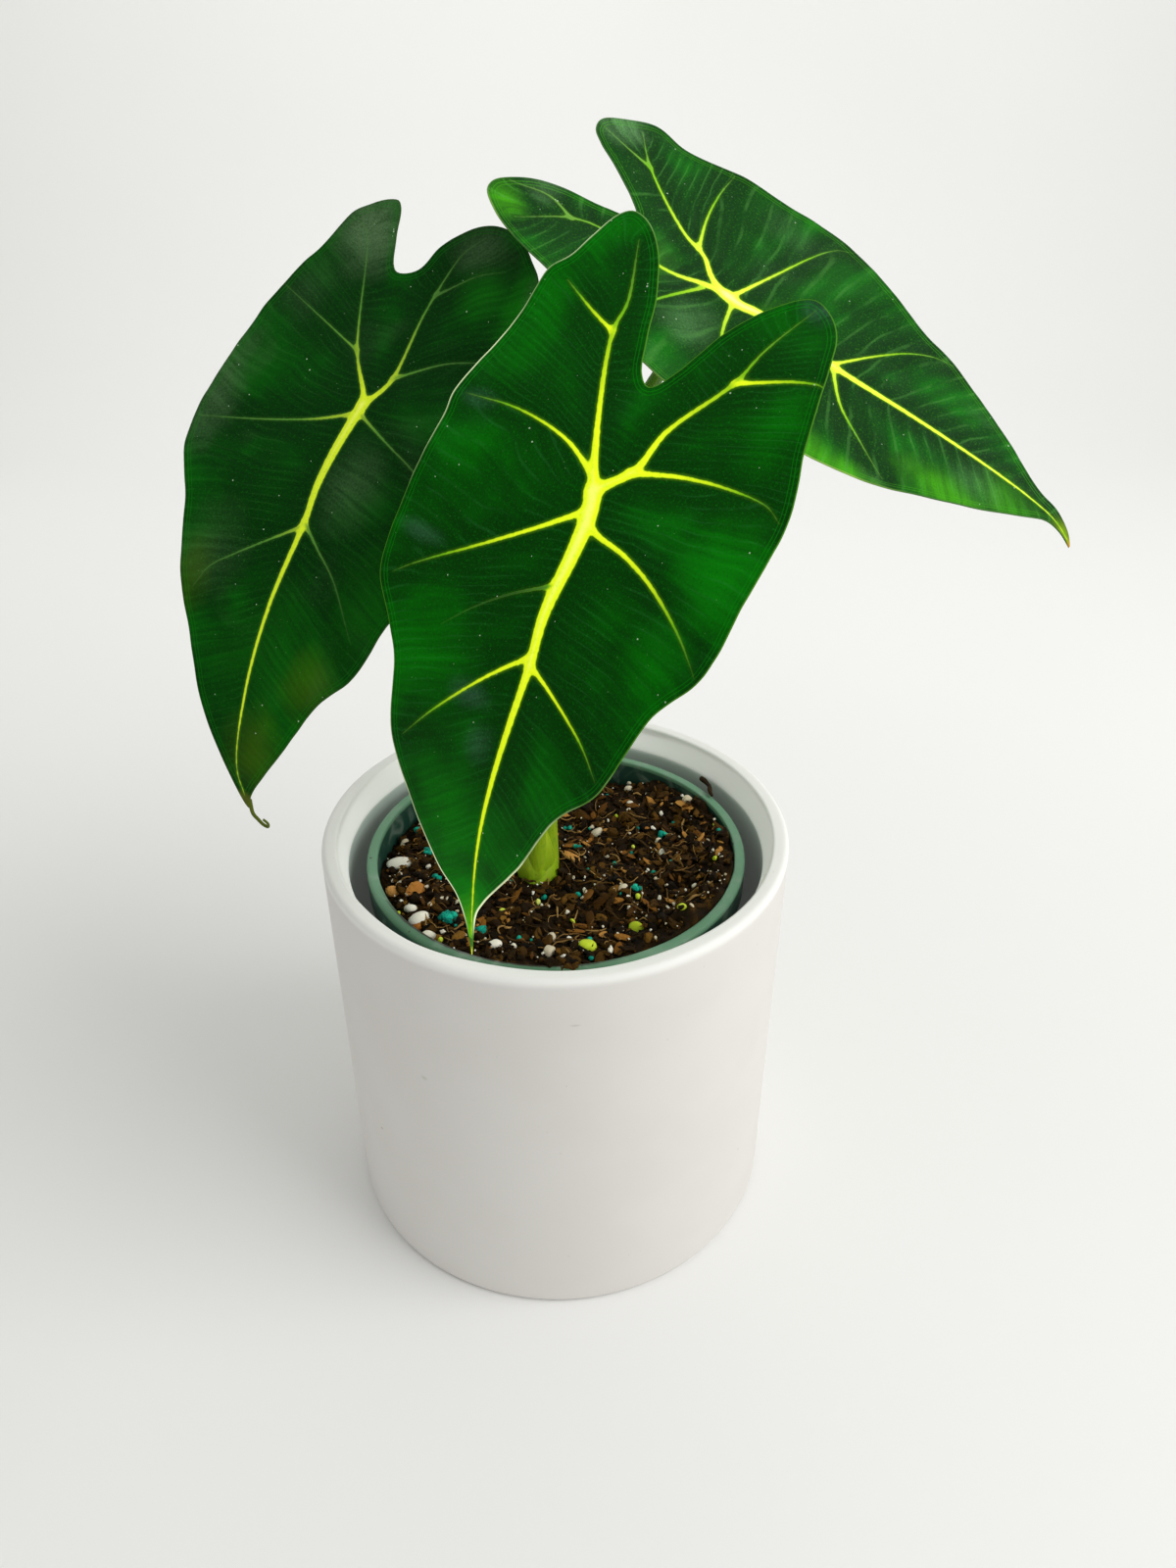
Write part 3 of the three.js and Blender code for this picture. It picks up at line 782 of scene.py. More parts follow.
@dataclass(frozen=True)
class Finish:
    """Finish of a piece: the name of its material and the values of its shader."""

    name: str

    def material(self) -> bpy.types.Material:
        """Build the finish.

        Returns:
            The material.
        """
        material = bpy.data.materials.new(self.name)
        material.use_nodes = True
        graph = Graph(material.node_tree)
        shader = material.node_tree.nodes["Principled BSDF"]
        for key, value in self.paint(graph).items():
            graph.feed(shader.inputs[key], value)
        return material

    def paint(self, graph: Graph) -> dict[str, Value]:
        """Colour, gloss and relief, by the names of the shader's inputs."""
        raise NotImplementedError


@dataclass(frozen=True)
class Patch:
    """Soft patch of colour on a leaf, in leaf millimetres."""

    centre: Point2
    size: Point2
    strength: float = 1.0


@dataclass(frozen=True)
class LeafFinish(Finish):
    """Velvety leaf: dark green blade with painted sheen and trough shade, lime veins that fade to grey green
    with a painted highlight and glow, thin edge painted pale as caught light.
    """

    deep: Colour = srgb(0, 62, 0)
    middle: Colour = srgb(0, 106, 0)
    bright: Colour = srgb(2, 150, 0)
    # sheen is the colour of the painted reflection; sheen_patches and sheen_cover place it.
    sheen: Colour = srgb(70, 112, 88)
    olive: Colour = srgb(150, 178, 24)
    lime: Colour = srgb(232, 252, 30)
    # Colour of the painted highlight along the crest of the thick veins.
    lime_highlight: Colour = srgb(246, 255, 110)
    lime_green: Colour = srgb(120, 190, 20)
    vein_end: Colour = srgb(66, 108, 78)
    edge: Colour = srgb(70, 132, 26)
    # Colour of the painted light caught by the thin margin.
    edge_light: Colour = srgb(238, 250, 200)
    under_blade: Colour = srgb(88, 130, 84)
    under_shade: Colour = srgb(70, 112, 66)
    under_vein: Colour = srgb(166, 192, 104)
    bright_patches: tuple[Patch, ...] = ()
    sheen_patches: tuple[Patch, ...] = ()
    olive_patches: tuple[Patch, ...] = ()
    dark_patches: tuple[Patch, ...] = ()
    # Colour of the painted shade in the troughs between the veinlets.
    trough_shade: Colour = srgb(0, 28, 2)
    dust: Colour = srgb(200, 225, 190)
    fine_dust: Colour = srgb(140, 180, 120)
    tip: Colour = srgb(206, 226, 60)
    tip_from: float = 96.0
    quilt_shade: float = 0.12
    edge_light_patches: tuple[Patch, ...] = ()
    line_show: float = 0.14
    line_spacing: float = 1.9
    swell: float = 0.22
    sheen_cover: float = 0.02
    roughness: float = 0.55
    specular: float = 0.06
    vein_glow: float = 0.34
    streak_show: float = 0.8

    @staticmethod
    def _patches(graph: Graph, place: Socket, patches: Sequence[Patch]) -> Value:
        total: Value = 0.0
        for patch in patches:
            centre, size = (*patch.centre, 0.0), (*patch.size, 1000.0)
            blob = graph.use(EFFECTS.blob, Place=place, Centre=centre, Size=size)[0]
            total = graph.more(total, graph.times(blob, patch.strength))
        return total

    def _blade(self, graph: Graph, place: Socket, lines: Sequence[Socket], cloud: Socket) -> Socket:
        streak = lines["Streak"]
        fine = graph.noise(place, 2.2, 2.0, 0.7)
        away = graph.remap(graph.read(Field.VEIN_GAP), 0.2, 9.0)
        lift = graph.times(away, graph.remap(cloud, 0.3, 0.72, 0.15, 0.9))
        lift = graph.plus(lift, graph.times(graph.minus(streak, 0.5), self.streak_show))
        blade = graph.mix(graph.remap(lift, 0.0, 1.0), self.deep, self.middle)
        vivid = graph.times(
            self._patches(graph, place, self.bright_patches), graph.remap(streak, 0.2, 0.7, 0.6, 1.1)
        )
        blade = graph.mix(vivid, blade, self.bright)
        blade = graph.mix(self._patches(graph, place, self.dark_patches), blade, self.deep)
        blade = graph.mix(graph.remap(fine, 0.5, 0.8, 0.0, 0.3), blade, self.bright)
        blade = graph.mix(graph.remap(fine, 0.48, 0.2, 0.0, 0.4), blade, self.deep)
        # Painted sheen: a grey-green reflection of the pale room, laid into the colour by noise and the sheen
        # patches.
        painted_sheen = graph.times(graph.remap(graph.noise(place, 0.05, 4.0, 0.8), 0.5, 0.75), self.sheen_cover)
        painted_sheen = graph.more(painted_sheen, self._patches(graph, place, self.sheen_patches))
        painted_sheen = graph.times(painted_sheen, graph.remap(graph.plus(fine, streak), 0.6, 1.3, 0.4, 1.4))
        blade = graph.mix(painted_sheen, blade, self.sheen)
        return graph.mix(self._patches(graph, place, self.olive_patches), blade, self.olive)

    def _lined(self, graph: Graph, blade: Socket, lines: Sequence[Socket], cloud: Socket) -> Socket:
        # Painted shade darkens the troughs between the veinlets.
        trough_shade = graph.times(graph.remap(lines["Swell"], 0.25, -0.45), graph.remap(cloud, 0.3, 0.6))
        blade = graph.mix(graph.times(trough_shade, self.quilt_shade), blade, self.trough_shade)
        shown = graph.times(lines["Line"], self.line_show)
        blade = graph.mix(shown, blade, graph.mix(0.5, self.bright, self.sheen))
        rim = graph.read(Field.RIM_GAP)
        twin = graph.more(graph.near(rim, 0.95, 0.16), graph.near(rim, 1.6, 0.14))
        return graph.mix(graph.times(twin, 0.45), blade, self.bright)

    def _vein(self, graph: Graph, place: Socket, ragged: Socket, tone: Socket) -> Socket:
        vein = graph.ramp(tone, ((0.0, self.vein_end), (0.42, self.lime_green), (0.86, self.lime)))
        # Painted highlight: the middle of the thick lime veins is paler along their crest.
        crest_highlight = graph.times(graph.remap(ragged, -0.5, -1.7), graph.remap(tone, 0.85, 1.0))
        vein = graph.mix(graph.times(crest_highlight, 0.9), vein, self.lime_highlight)
        worn = graph.noise(place, 1.6, 3.0, 0.6)
        vein = graph.mix(graph.remap(worn, 0.5, 0.75, 0.0, 0.25), vein, self.lime_green)
        return graph.mix(graph.remap(ragged, -0.3, 0.0, 0.0, 0.55), vein, self.lime_green)

    def _dusted(self, graph: Graph, place: Socket, upper: Socket) -> Socket:
        for scale, size, share, show, colour in (
            (0.5, 0.1, 0.3, 0.7, self.dust),
            (1.1, 0.11, 0.16, 0.45, self.fine_dust),
        ):
            specks = graph.use(EFFECTS.specks, Place=place, Scale=scale, Size=size, Share=share)[0]
            upper = graph.mix(graph.times(specks, show), upper, colour)
        return upper

    def _below(self, graph: Graph, lines: Sequence[Socket], cloud: Socket, ragged: Socket) -> Socket:
        below = graph.mix(graph.remap(cloud, 0.3, 0.7), self.under_blade, self.under_shade)
        below = graph.mix(graph.times(lines["Line"], 0.35), below, self.under_vein)
        return graph.mix(graph.remap(ragged, 0.3, -0.1), below, self.under_vein)

    def paint(self, graph: Graph) -> dict[str, Value]:
        """Lay the blade, its veins, its edge, its dust and its underside."""
        place = graph.read(Field.PLACE, "Vector")
        tone = graph.read(Field.VEIN_TONE)
        rim = graph.read(Field.RIM_GAP)
        under = graph.read(Field.UNDER)
        phase = graph.read(Field.VEINLET)
        lines = graph.use(EFFECTS.veinlets, Phase=phase, Place=place, Spacing=self.line_spacing)
        cloud = graph.noise(place, 0.055, 3.0, 0.5)
        flecks = graph.noise(place, 0.9, 3.0)
        blade = self._lined(graph, self._blade(graph, place, lines, cloud), lines, cloud)

        ragged = graph.plus(graph.read(Field.VEIN_GAP), graph.times(graph.minus(flecks, 0.5), 0.3))
        core = graph.remap(ragged, 0.05, -0.16)
        halo = graph.times(graph.remap(ragged, 0.6, -0.05), 0.3)
        vein = self._vein(graph, place, ragged, tone)
        strength = graph.remap(tone, 0.0, 0.5, 0.25, 1.0)
        upper = graph.mix(graph.times(halo, tone), blade, self.lime_green)
        upper = graph.mix(graph.times(core, strength), upper, vein)

        along = graph.split(place)[1]
        # Painted light: a pale line where light catches the thin margin, laid where the edge light patches
        # are and kept off the very tip.
        edge_light_mask = graph.times(self._patches(graph, place, self.edge_light_patches), graph.remap(along, 94.0, 88.0))
        border = graph.more(graph.remap(rim, 0.2, 0.08), graph.times(graph.remap(rim, 0.34, 0.2), edge_light_mask))
        upper = graph.mix(border, upper, graph.mix(edge_light_mask, self.edge, self.edge_light))
        upper = graph.mix(graph.remap(along, self.tip_from, self.tip_from + 2.0), upper, self.tip)
        upper = self._dusted(graph, place, upper)

        rough = graph.plus(self.roughness - 0.06, graph.times(flecks, 0.12))
        above = graph.minus(1.0, under)
        lit = graph.times(graph.times(core, graph.times(strength, tone)), above)
        shine = graph.times(graph.times(border, edge_light_mask), above)
        relief = graph.plus(graph.times(lines["Swell"], self.swell), graph.times(flecks, 0.5))
        relief = graph.plus(relief, graph.times(graph.noise(place, 3.0, 2.0), 0.25))
        return {
            "Base Color": graph.mix(under, upper, self._below(graph, lines, cloud, ragged)),
            "Roughness": graph.minus(rough, graph.times(core, 0.08)),
            # Painted glow: the lime veins and the lit margin emit light of their own.
            "Specular IOR Level": self.specular,
            "Emission Color": graph.mix(shine, graph.mix(lit, BLACK, vein), self.edge_light),
            "Emission Strength": self.vein_glow,
            "Normal": graph.bump(relief, 0.09, 0.6),
        }


@dataclass(frozen=True)
class StemFinish(Finish):
    """Fleshy stem with fine lengthwise streaks and small dark flecks."""

    low: Colour
    high: Colour
    streak: Colour
    fleck: Colour
    fleck_show: float = 0.5
    roughness: float = 0.42

    def paint(self, graph: Graph) -> dict[str, Value]:
        """Lay the streaked skin and its flecks."""
        place = graph.place()
        middle = tuple((a + b) / 2 for a, b in zip(self.low, self.high))
        body = graph.ramp(graph.read(Field.ALONG), ((0.0, self.low), (0.45, middle), (1.0, self.high)))
        stretched = graph.vector("MULTIPLY", graph.read(Field.ROUND, "Vector"), (1.0, 1.0, 0.05))[0]
        lines = graph.noise(stretched, 4.0, 4.0, 0.3)
        body = graph.mix(graph.remap(lines, 0.45, 0.7), body, self.streak)
        cloud = graph.noise(place, 0.35, 3.0)
        body = graph.mix(graph.remap(cloud, 0.55, 0.75, 0.0, 0.35), body, self.high)
        flecks = graph.use(EFFECTS.specks, Place=place, Scale=1.1, Size=0.32, Share=0.4)[0]
        return {
            "Base Color": graph.mix(graph.times(flecks, self.fleck_show), body, self.fleck),
            "Roughness": graph.remap(cloud, 0.3, 0.7, self.roughness - 0.07, self.roughness + 0.08),
            "Specular IOR Level": 0.35,
            "Normal": graph.bump(graph.plus(lines, graph.times(cloud, 0.5)), 0.25, 0.6),
        }


@dataclass(frozen=True)
class CeramicFinish(Finish):
    """Matt white ceramic whose glaze ends in an uneven line inside the wall; the lip and the bevel inside it
    are painted lighter and glow as painted light.
    """

    name: str = "matt ceramic"
    body: Colour = srgb(226, 223, 218)
    worn: Colour = srgb(223, 219, 214)
    inside: Colour = srgb(194, 208, 198)
    # Colour of the painted light on the lip and the bevel inside it.
    lip_light: Colour = srgb(246, 246, 241)
    line: Colour = srgb(206, 203, 196)
    mark: Colour = srgb(120, 108, 98)
    glaze_z: float = 114.6
    inner_radius: float = 59.0
    lip_z: float = 121.0
    scuffs: tuple[tuple[Point3, Point3], ...] = (
        ((5.8, -63.1, 107.6), (1.6, 4.0, 0.5)),
        ((-32.9, -54.2, 80.7), (1.2, 4.0, 1.0)),
    )

    def paint(self, graph: Graph) -> dict[str, Value]:
        """Lay the matt body, the lip painted lighter with its painted glow, the glaze line and a few marks.
        """
        place = graph.place()
        x, y, z = graph.split(place)
        reach = graph.math("SQRT", graph.plus(graph.times(x, x), graph.times(y, y)))
        height, broad = graph.use(EFFECTS.grain, Place=place, Scale=0.5)
        wave = graph.times(graph.minus(graph.noise(place, 0.1, 3.0), 0.5), 0.6)
        below = graph.minus(graph.plus(z, wave), self.glaze_z)
        within = graph.remap(reach, self.inner_radius + 0.4, self.inner_radius - 0.2)
        seam = graph.times(graph.near(below, 0.0, 0.5), within)
        bare = graph.times(graph.remap(below, 0.2, -0.2), within)
        # Painted light: the lip top and the bevel inside it take a lighter colour, as if more lit.
        lip = graph.more(graph.remap(z, self.lip_z - 2.2, self.lip_z), within)
        body = graph.mix(graph.remap(broad, 0.35, 0.75, 0.0, 0.6), self.body, self.worn)
        body = graph.mix(lip, body, self.lip_light)
        body = graph.mix(bare, body, self.inside)
        body = graph.mix(graph.times(seam, 0.5), body, self.line)
        marks = graph.use(EFFECTS.specks, Place=place, Scale=0.06, Size=0.06, Share=0.3)[0]
        body = graph.mix(graph.times(marks, 0.4), body, self.mark)
        for centre, size in self.scuffs:
            scuff = graph.use(EFFECTS.blob, Place=place, Centre=centre, Size=size)[0]
            body = graph.mix(graph.times(scuff, 0.22), body, self.mark)
        pores = graph.use(EFFECTS.specks, Place=place, Scale=0.6, Size=0.12, Share=0.12)[0]
        depth = graph.remap(below, -1.0, 0.5, 0.18, 1.0)
        return {
            "Base Color": graph.mix(graph.times(pores, 0.25), body, self.mark),
            "Roughness": graph.minus(graph.remap(broad, 0.3, 0.7, 0.54, 0.6), graph.times(bare, 0.2)),
            "Specular IOR Level": 0.4,
            # Painted glow: the inner bevel and wall emit the lip colour, fading below the glaze line.
            "Emission Color": graph.mix(graph.times(within, depth), BLACK, self.lip_light),
            "Emission Strength": 0.19,
            "Normal": graph.bump(height, 0.05, 0.3),
        }


@dataclass(frozen=True)
class PlasticFinish(Finish):
    """Thin green pot plastic: deep green down the walls, the rim top painted lighter sage as a painted
    highlight and darker at the front-left as painted shade, dusty.
    """

    name: str = "green pot plastic"
    wall: Colour = srgb(22, 66, 52)
    rim: Colour = srgb(104, 152, 118)
    rim_shade: Colour = srgb(72, 116, 84)
    crust: Colour = srgb(34, 28, 12)
    soil: Colour = srgb(58, 40, 28)
    mouth: float = 50.1
    dust: Colour = srgb(150, 165, 150)
    rim_z: float = 113.2

    def paint(self, graph: Graph) -> dict[str, Value]:
        """Lay the green wall, the rim with its painted highlight, its front-left painted shade and soiled
        front, smudges and crumbs.
        """
        place = graph.place()
        x, y, z = graph.split(place)
        height, broad = graph.use(EFFECTS.grain, Place=place, Scale=1.2)
        front = graph.remap(graph.plus(y, graph.times(x, 0.4)), -34.0, -50.0)
        reach = graph.math("SQRT", graph.plus(graph.times(x, x), graph.times(y, y)))
        reach = graph.plus(reach, graph.times(graph.noise(place, 0.35, 3.0), 0.8))
        soiled = graph.times(graph.remap(reach, self.mouth + 0.6, self.mouth + 0.2), front)
        # Painted highlight: the rim top is lighter sage than the wall; rim_shade is painted shade on its
        # front-left.
        rim = graph.mix(soiled, graph.mix(front, self.rim, self.rim_shade), self.crust)
        body = graph.mix(graph.remap(z, self.rim_z - 0.5, self.rim_z + 0.3), self.wall, rim)
        smudge = graph.remap(graph.noise(place, 0.12, 4.0, 0.8), 0.5, 0.72, 0.0, 0.4)
        body = graph.mix(smudge, body, self.dust)
        soil = graph.use(EFFECTS.specks, Place=place, Scale=0.55, Size=0.22, Share=0.16)[0]
        return {
            "Base Color": graph.mix(graph.times(soil, 0.8), body, self.soil),
            "Roughness": graph.remap(broad, 0.3, 0.7, 0.42, 0.6),
            "Normal": graph.bump(height, 0.12, 0.4),
        }


@dataclass(frozen=True)
class GrainFinish(Finish):
    """Loose matter in the mix, each body with its own tint."""

    stops: Stops
    spot: Colour
    spot_share: float = 0.2
    roughness: float = 0.85
    specular: float = 0.12
    scale: float = 2.4
    depth: float = 0.22

    def paint(self, graph: Graph) -> dict[str, Value]:
        """Lay the tint, its grain and its spots."""
        place = graph.place()
        height, broad = graph.use(EFFECTS.grain, Place=place, Scale=self.scale)
        uneven = graph.times(graph.minus(height, 0.5), 0.6)
        body = graph.ramp(graph.plus(graph.read(Field.TINT), uneven), self.stops)
        spots = graph.use(EFFECTS.specks, Place=place, Scale=1.3, Size=0.4, Share=self.spot_share)[0]
        return {
            "Base Color": graph.mix(graph.times(spots, 0.6), body, self.spot),
            "Roughness": graph.remap(broad, 0.3, 0.7, self.roughness - 0.1, self.roughness + 0.08),
            "Specular IOR Level": self.specular,
            "Normal": graph.bump(height, self.depth, 0.8),
        }


# Leaves


@dataclass(frozen=True)
class Vein:
    """One vein on a leaf.

    Attributes:
        line: Places along it in leaf millimetres, from its root to its end.
        widths: Widths spread evenly along it.
        tones: Brightness spread evenly along it: 1 is lime, 0 fades into grey green.
        ridge: How far it stands out below the blade at its root.
        phase: Veinlet phase at its root and its rise per millimetre; none where the
            veinlets don't start from it.
    """

    line: tuple[Point2, ...]
    widths: tuple[float, ...]
    tones: tuple[float, ...]
    ridge: float = 0.35
    phase: tuple[float, float] | None = None


@dataclass(frozen=True)
class LeafPlan:
    """Form of one leaf, as in the part's source.

    Attributes:
        name: Short name of the leaf.
        junction: Where the veins meet.
        tipward: Way to the tip.
        face: Way the upper face looks.
        bend: Tip, droop, lobe, cup, cup taper and twist terms of the height.
        wave: Size, length and phase of the margin's wave.
        outline: Margin in leaf millimetres.
        veins: Veins.
        hook: Start, length and size of the sideways hook of the tip.
        tail: Places of the dry curled end, with the lift of each.
    """

    name: str
    junction: Point3
    tipward: Point3
    face: Point3
    bend: tuple[float, ...]
    wave: tuple[float, float, float]
    outline: tuple[Point2, ...]
    veins: tuple[Vein, ...]
    hook: tuple[float, float, float] = (0.0, 1.0, 0.0)
    tail: tuple[Point3, ...] = ()


@dataclass
class Leaf:
    """A blade with its margin, veins and raised ribs."""

    plan: LeafPlan
    finish: LeafFinish
    thickness: float = 0.6
    edge_thickness: float = 0.3
    spacing: float = 0.95
    inset: float = 0.24
    sink: float = 0.3
    quilt: float = 6.0
    blend: float = 0.5

    def __post_init__(self) -> None:
        tipward = unit(np.array(self.plan.tipward))
        face = np.array(self.plan.face)
        face = unit(face - face @ tipward * tipward)
        self.axes = np.array([np.cross(tipward, face), tipward, face])
        self.origin = np.array(self.plan.junction)

    def height(self, x: np.ndarray, y: np.ndarray) -> np.ndarray:
        """Height of the upper face over the leaf's own plane.

        Args:
            x: Places across the leaf.
            y: Places towards the tip.

        Returns:
            The heights.
        """
        tip, droop, lobe, cup, cup_taper, twist = self.plan.bend
        size, length, phase = self.plan.wave
        fore = np.maximum(y, 0)
        aft = np.minimum(y, 0)
        ripple = size * (x / 38) ** 2 * np.sin(2 * math.pi * y / length + phase + 0.9 * np.sign(x))
        return (
            (tip * fore**2 + lobe * aft**2 + cup * x**2 + twist * x * y) / 100
            + (droop * fore**3 + cup_taper * x**2 * y) / 1e4
            + ripple
        )

    def settle(self, flat: np.ndarray, down: np.ndarray | float) -> np.ndarray:
        """Places in space for flat leaf places.

        Args:
            flat: Leaf millimetres, one place a row.
            down: Depth below the upper face, square to it.

        Returns:
            The places in space.
        """
        x, y = flat[:, 0], flat[:, 1]
        step = 0.05
        slope_x = (self.height(x + step, y) - self.height(x - step, y)) / (2 * step)
        slope_y = (self.height(x, y + step) - self.height(x, y - step)) / (2 * step)
        square = unit(np.column_stack([-slope_x, -slope_y, np.ones(len(x))]))
        local = np.column_stack([x, y, self.height(x, y)]) - square * np.reshape(down, (-1, 1))
        return self.origin + local @ self.axes

    def hooked(self, flat: np.ndarray) -> np.ndarray:
        """Flat places after the sideways hook of the tip.

        Args:
            flat: Leaf millimetres, one place a row.

        Returns:
            The moved places.
        """
        start, length, size = self.plan.hook
        moved = flat.copy()
        moved[:, 0] += size * (np.maximum(0, flat[:, 1] - start) / length) ** 2
        return moved

    def _margin(self) -> np.ndarray:
        margin = smooth_line(self.plan.outline, True, 0.75)
        uneven = 0.5 + 0.5 * rolling(margin, 9.0, 7)
        return margin - outward(margin) * (self.inset + 0.12 * uneven)[:, None]

    def _loose_points(self, lines: Sequence[np.ndarray], margin: np.ndarray) -> np.ndarray:
        loose = []
        for vein, line in zip(self.plan.veins, lines):
            along = unit(np.gradient(line, axis=0))
            side = np.column_stack([along[:, 1], -along[:, 0]])
            half = spread(np.linspace(0, 1, len(line)), vein.widths) / 2
            for reach in (half * 0.55, half, half + 0.55):
                loose += [line + side * reach[:, None], line - side * reach[:, None]]
        low, high = margin.min(axis=0), margin.max(axis=0)
        for i, row in enumerate(np.arange(low[1], high[1], self.spacing * 0.866)):
            across = np.arange(low[0] + (i % 2) * self.spacing / 2, high[0], self.spacing)
            loose.append(np.column_stack([across, np.full(len(across), row)]))
        return np.vstack(loose)

    def _lay_out(self) -> tuple[np.ndarray, Faces, int]:
        margin = self._margin()

        def well_inside(points: np.ndarray) -> np.ndarray:
            gap, _ = nearest_on_line(points, np.vstack([margin, margin[:1]]))
            return points[inside(points, margin) & (gap > 0.5)]

        lines = [smooth_line(vein.line, False, 0.9) for vein in self.plan.veins]
        cloud = well_inside(self._loose_points(lines, margin))
        places = [margin]
        edges = chain(0, len(margin), True)
        for line in map(well_inside, lines):
            edges += chain(sum(map(len, places)), len(line), False)
            places.append(line)
        cloud = thinned(cloud, np.vstack(places), self.spacing * 0.42)
        flat, faces = triangulated(np.vstack([*places, cloud]), edges)
        middles = flat[np.array(faces)].mean(axis=1)
        faces = [face for face, good in zip(faces, inside(middles, margin)) if good]
        return flat, faces, len(margin)

    def _vein_fields(self, flat: np.ndarray) -> tuple[np.ndarray, np.ndarray, np.ndarray]:
        weight, tone, ridge, bow = np.zeros((4, len(flat)))
        for vein in self.plan.veins:
            distance, share = nearest_on_line(flat, smooth_line(vein.line, False, 1.2))
            half = spread(share, vein.widths) / 2
            pull = np.exp(-(distance - half) / self.blend)
            weight += pull
            tone += pull**2 * spread(share, vein.tones)
            bow += pull**2
            reach = np.maximum(half * 1.25, 0.5)
            stand = vein.ridge * (1 - 0.75 * share) * np.sqrt(np.clip(1 - (distance / reach) ** 2, 0, 1))
            ridge = np.maximum(ridge, stand)
        gap = -self.blend * np.log(np.maximum(weight, 1e-30))
        return gap, tone / np.maximum(bow, 1e-30), ridge

    def _veinlet_phase(self, flat: np.ndarray, faces: Faces) -> np.ndarray:
        fixed = np.zeros(len(flat), dtype=bool)
        value = np.zeros(len(flat))
        weight = np.full(len(flat), 1e-9)
        for vein in self.plan.veins:
            if vein.phase is None:
                continue
            line = smooth_line(vein.line, False, 1.2)
            length = np.linalg.norm(np.diff(line, axis=0), axis=1).sum()
            distance, share = nearest_on_line(flat, line)
            phase = vein.phase[0] + vein.phase[1] * share * length
            pull = 1 / (distance + 0.3) ** 3
            value += pull * phase
            weight += pull
            fixed |= distance < 0.35
        value /= weight
        triangle = np.array(faces)
        pairs = np.vstack([triangle[:, [0, 1]], triangle[:, [1, 2]], triangle[:, [2, 0]]])
        pairs = np.vstack([pairs, pairs[:, ::-1]])
        degree = np.maximum(np.bincount(pairs[:, 0], minlength=len(flat)), 1)
        for _ in range(260):
            mean = np.bincount(pairs[:, 0], weights=value[pairs[:, 1]], minlength=len(flat)) / degree
            value = np.where(fixed, value, mean)
        return value

    def build(self) -> None:
        """Make the leaf with its two faces, its rounded rim and its dry end."""
        flat, tris, rim_count = self._lay_out()
        count = len(flat)
        margin = flat[:rim_count]
        gap, tone, ridge = self._vein_fields(flat)
        rim, _ = nearest_on_line(flat, np.vstack([margin, margin[:1]]))
        near_edge = smoothstep(0, 2.2, rim)
        crest = 0.22 * smoothstep(0.2, -1.2, gap)
        down = (self.sink * np.exp(-np.maximum(gap, 0) / self.quilt * 2.2) - crest) * near_edge
        depth = self.edge_thickness + (self.thickness - self.edge_thickness) * near_edge
        placed = self.hooked(flat)
        edge = self.settle(placed[:rim_count], (down + depth / 2)[:rim_count])
        edge += 0.1 * outward(margin) @ self.axes[:2]
        points = [self.settle(placed, down), self.settle(placed, down + depth + ridge * near_edge), edge]

        faces = tris + [(a + count, c + count, b + count) for a, b, c in tris]
        sides: Faces = []
        for i, j in chain(0, rim_count, True):
            e, f = 2 * count + i, 2 * count + j
            sides += [(i, e, f, j), (e, count + i, count + j, f)]
        faces += sides if turning(margin) > 0 else flipped(sides)

        stored = {
            Field.VEIN_GAP: gap,
            Field.VEIN_TONE: tone,
            Field.VEINLET: self._veinlet_phase(flat, tris),
            Field.RIM_GAP: rim,
            Field.PLACE: np.column_stack([flat, np.zeros(count)]),
        }
        fields = {key: np.concatenate([v, v, v[:rim_count]]) for key, v in stored.items()}
        fields[Field.UNDER] = np.repeat([0.0, 1.0, 0.0], [count, count, rim_count])
        if self.plan.tail:
            self._add_tail(points, faces, fields)
        node = f"leaf_{self.plan.name}"
        piece = Piece(f"{node}_blade", Slot.LEAF, (node,), np.vstack(points), faces, fields, 55)
        piece.build(self.finish)

    def _add_tail(self, points: list[np.ndarray], faces: Faces, fields: dict[Field, np.ndarray]) -> None:
        places = np.array(self.plan.tail)
        middle = self.settle(places[:, :2], 0.4) + places[:, 2:] * self.axes[2]
        path = smooth_line(middle, False, 0.35)
        sides = 12

        def radius(share: float, turn: float) -> float:
            return 0.46 - 0.2 * share + 0.05 * math.cos(2 * turn)

        skin, shell = tube(path, radius, sides, sum(map(len, points)))
        points.append(skin)
        faces.extend(shell)
        along = np.repeat(np.linspace(0, 1, len(path)), sides)
        none = np.zeros(len(skin))
        extra = {
            Field.VEIN_GAP: none + 6.0,
            Field.VEIN_TONE: none,
            Field.VEINLET: along * 4,
            Field.RIM_GAP: none + 4.0,
            Field.UNDER: none,
            Field.PLACE: np.column_stack([spread(along, places[:, 0]), spread(along, places[:, 1]), none]),
        }
        for key, values in extra.items():
            fields[key] = np.concatenate([fields[key], values])


MIDRIB_TONES = (1.0, 1.0, 1.0, 0.97, 0.92, 0.85, 0.75)
LOBE_TONES = (1.0, 0.9, 0.66, 0.36, 0.1)
SIDE_TONES = (1.0, 0.9, 0.72, 0.38, 0.08)

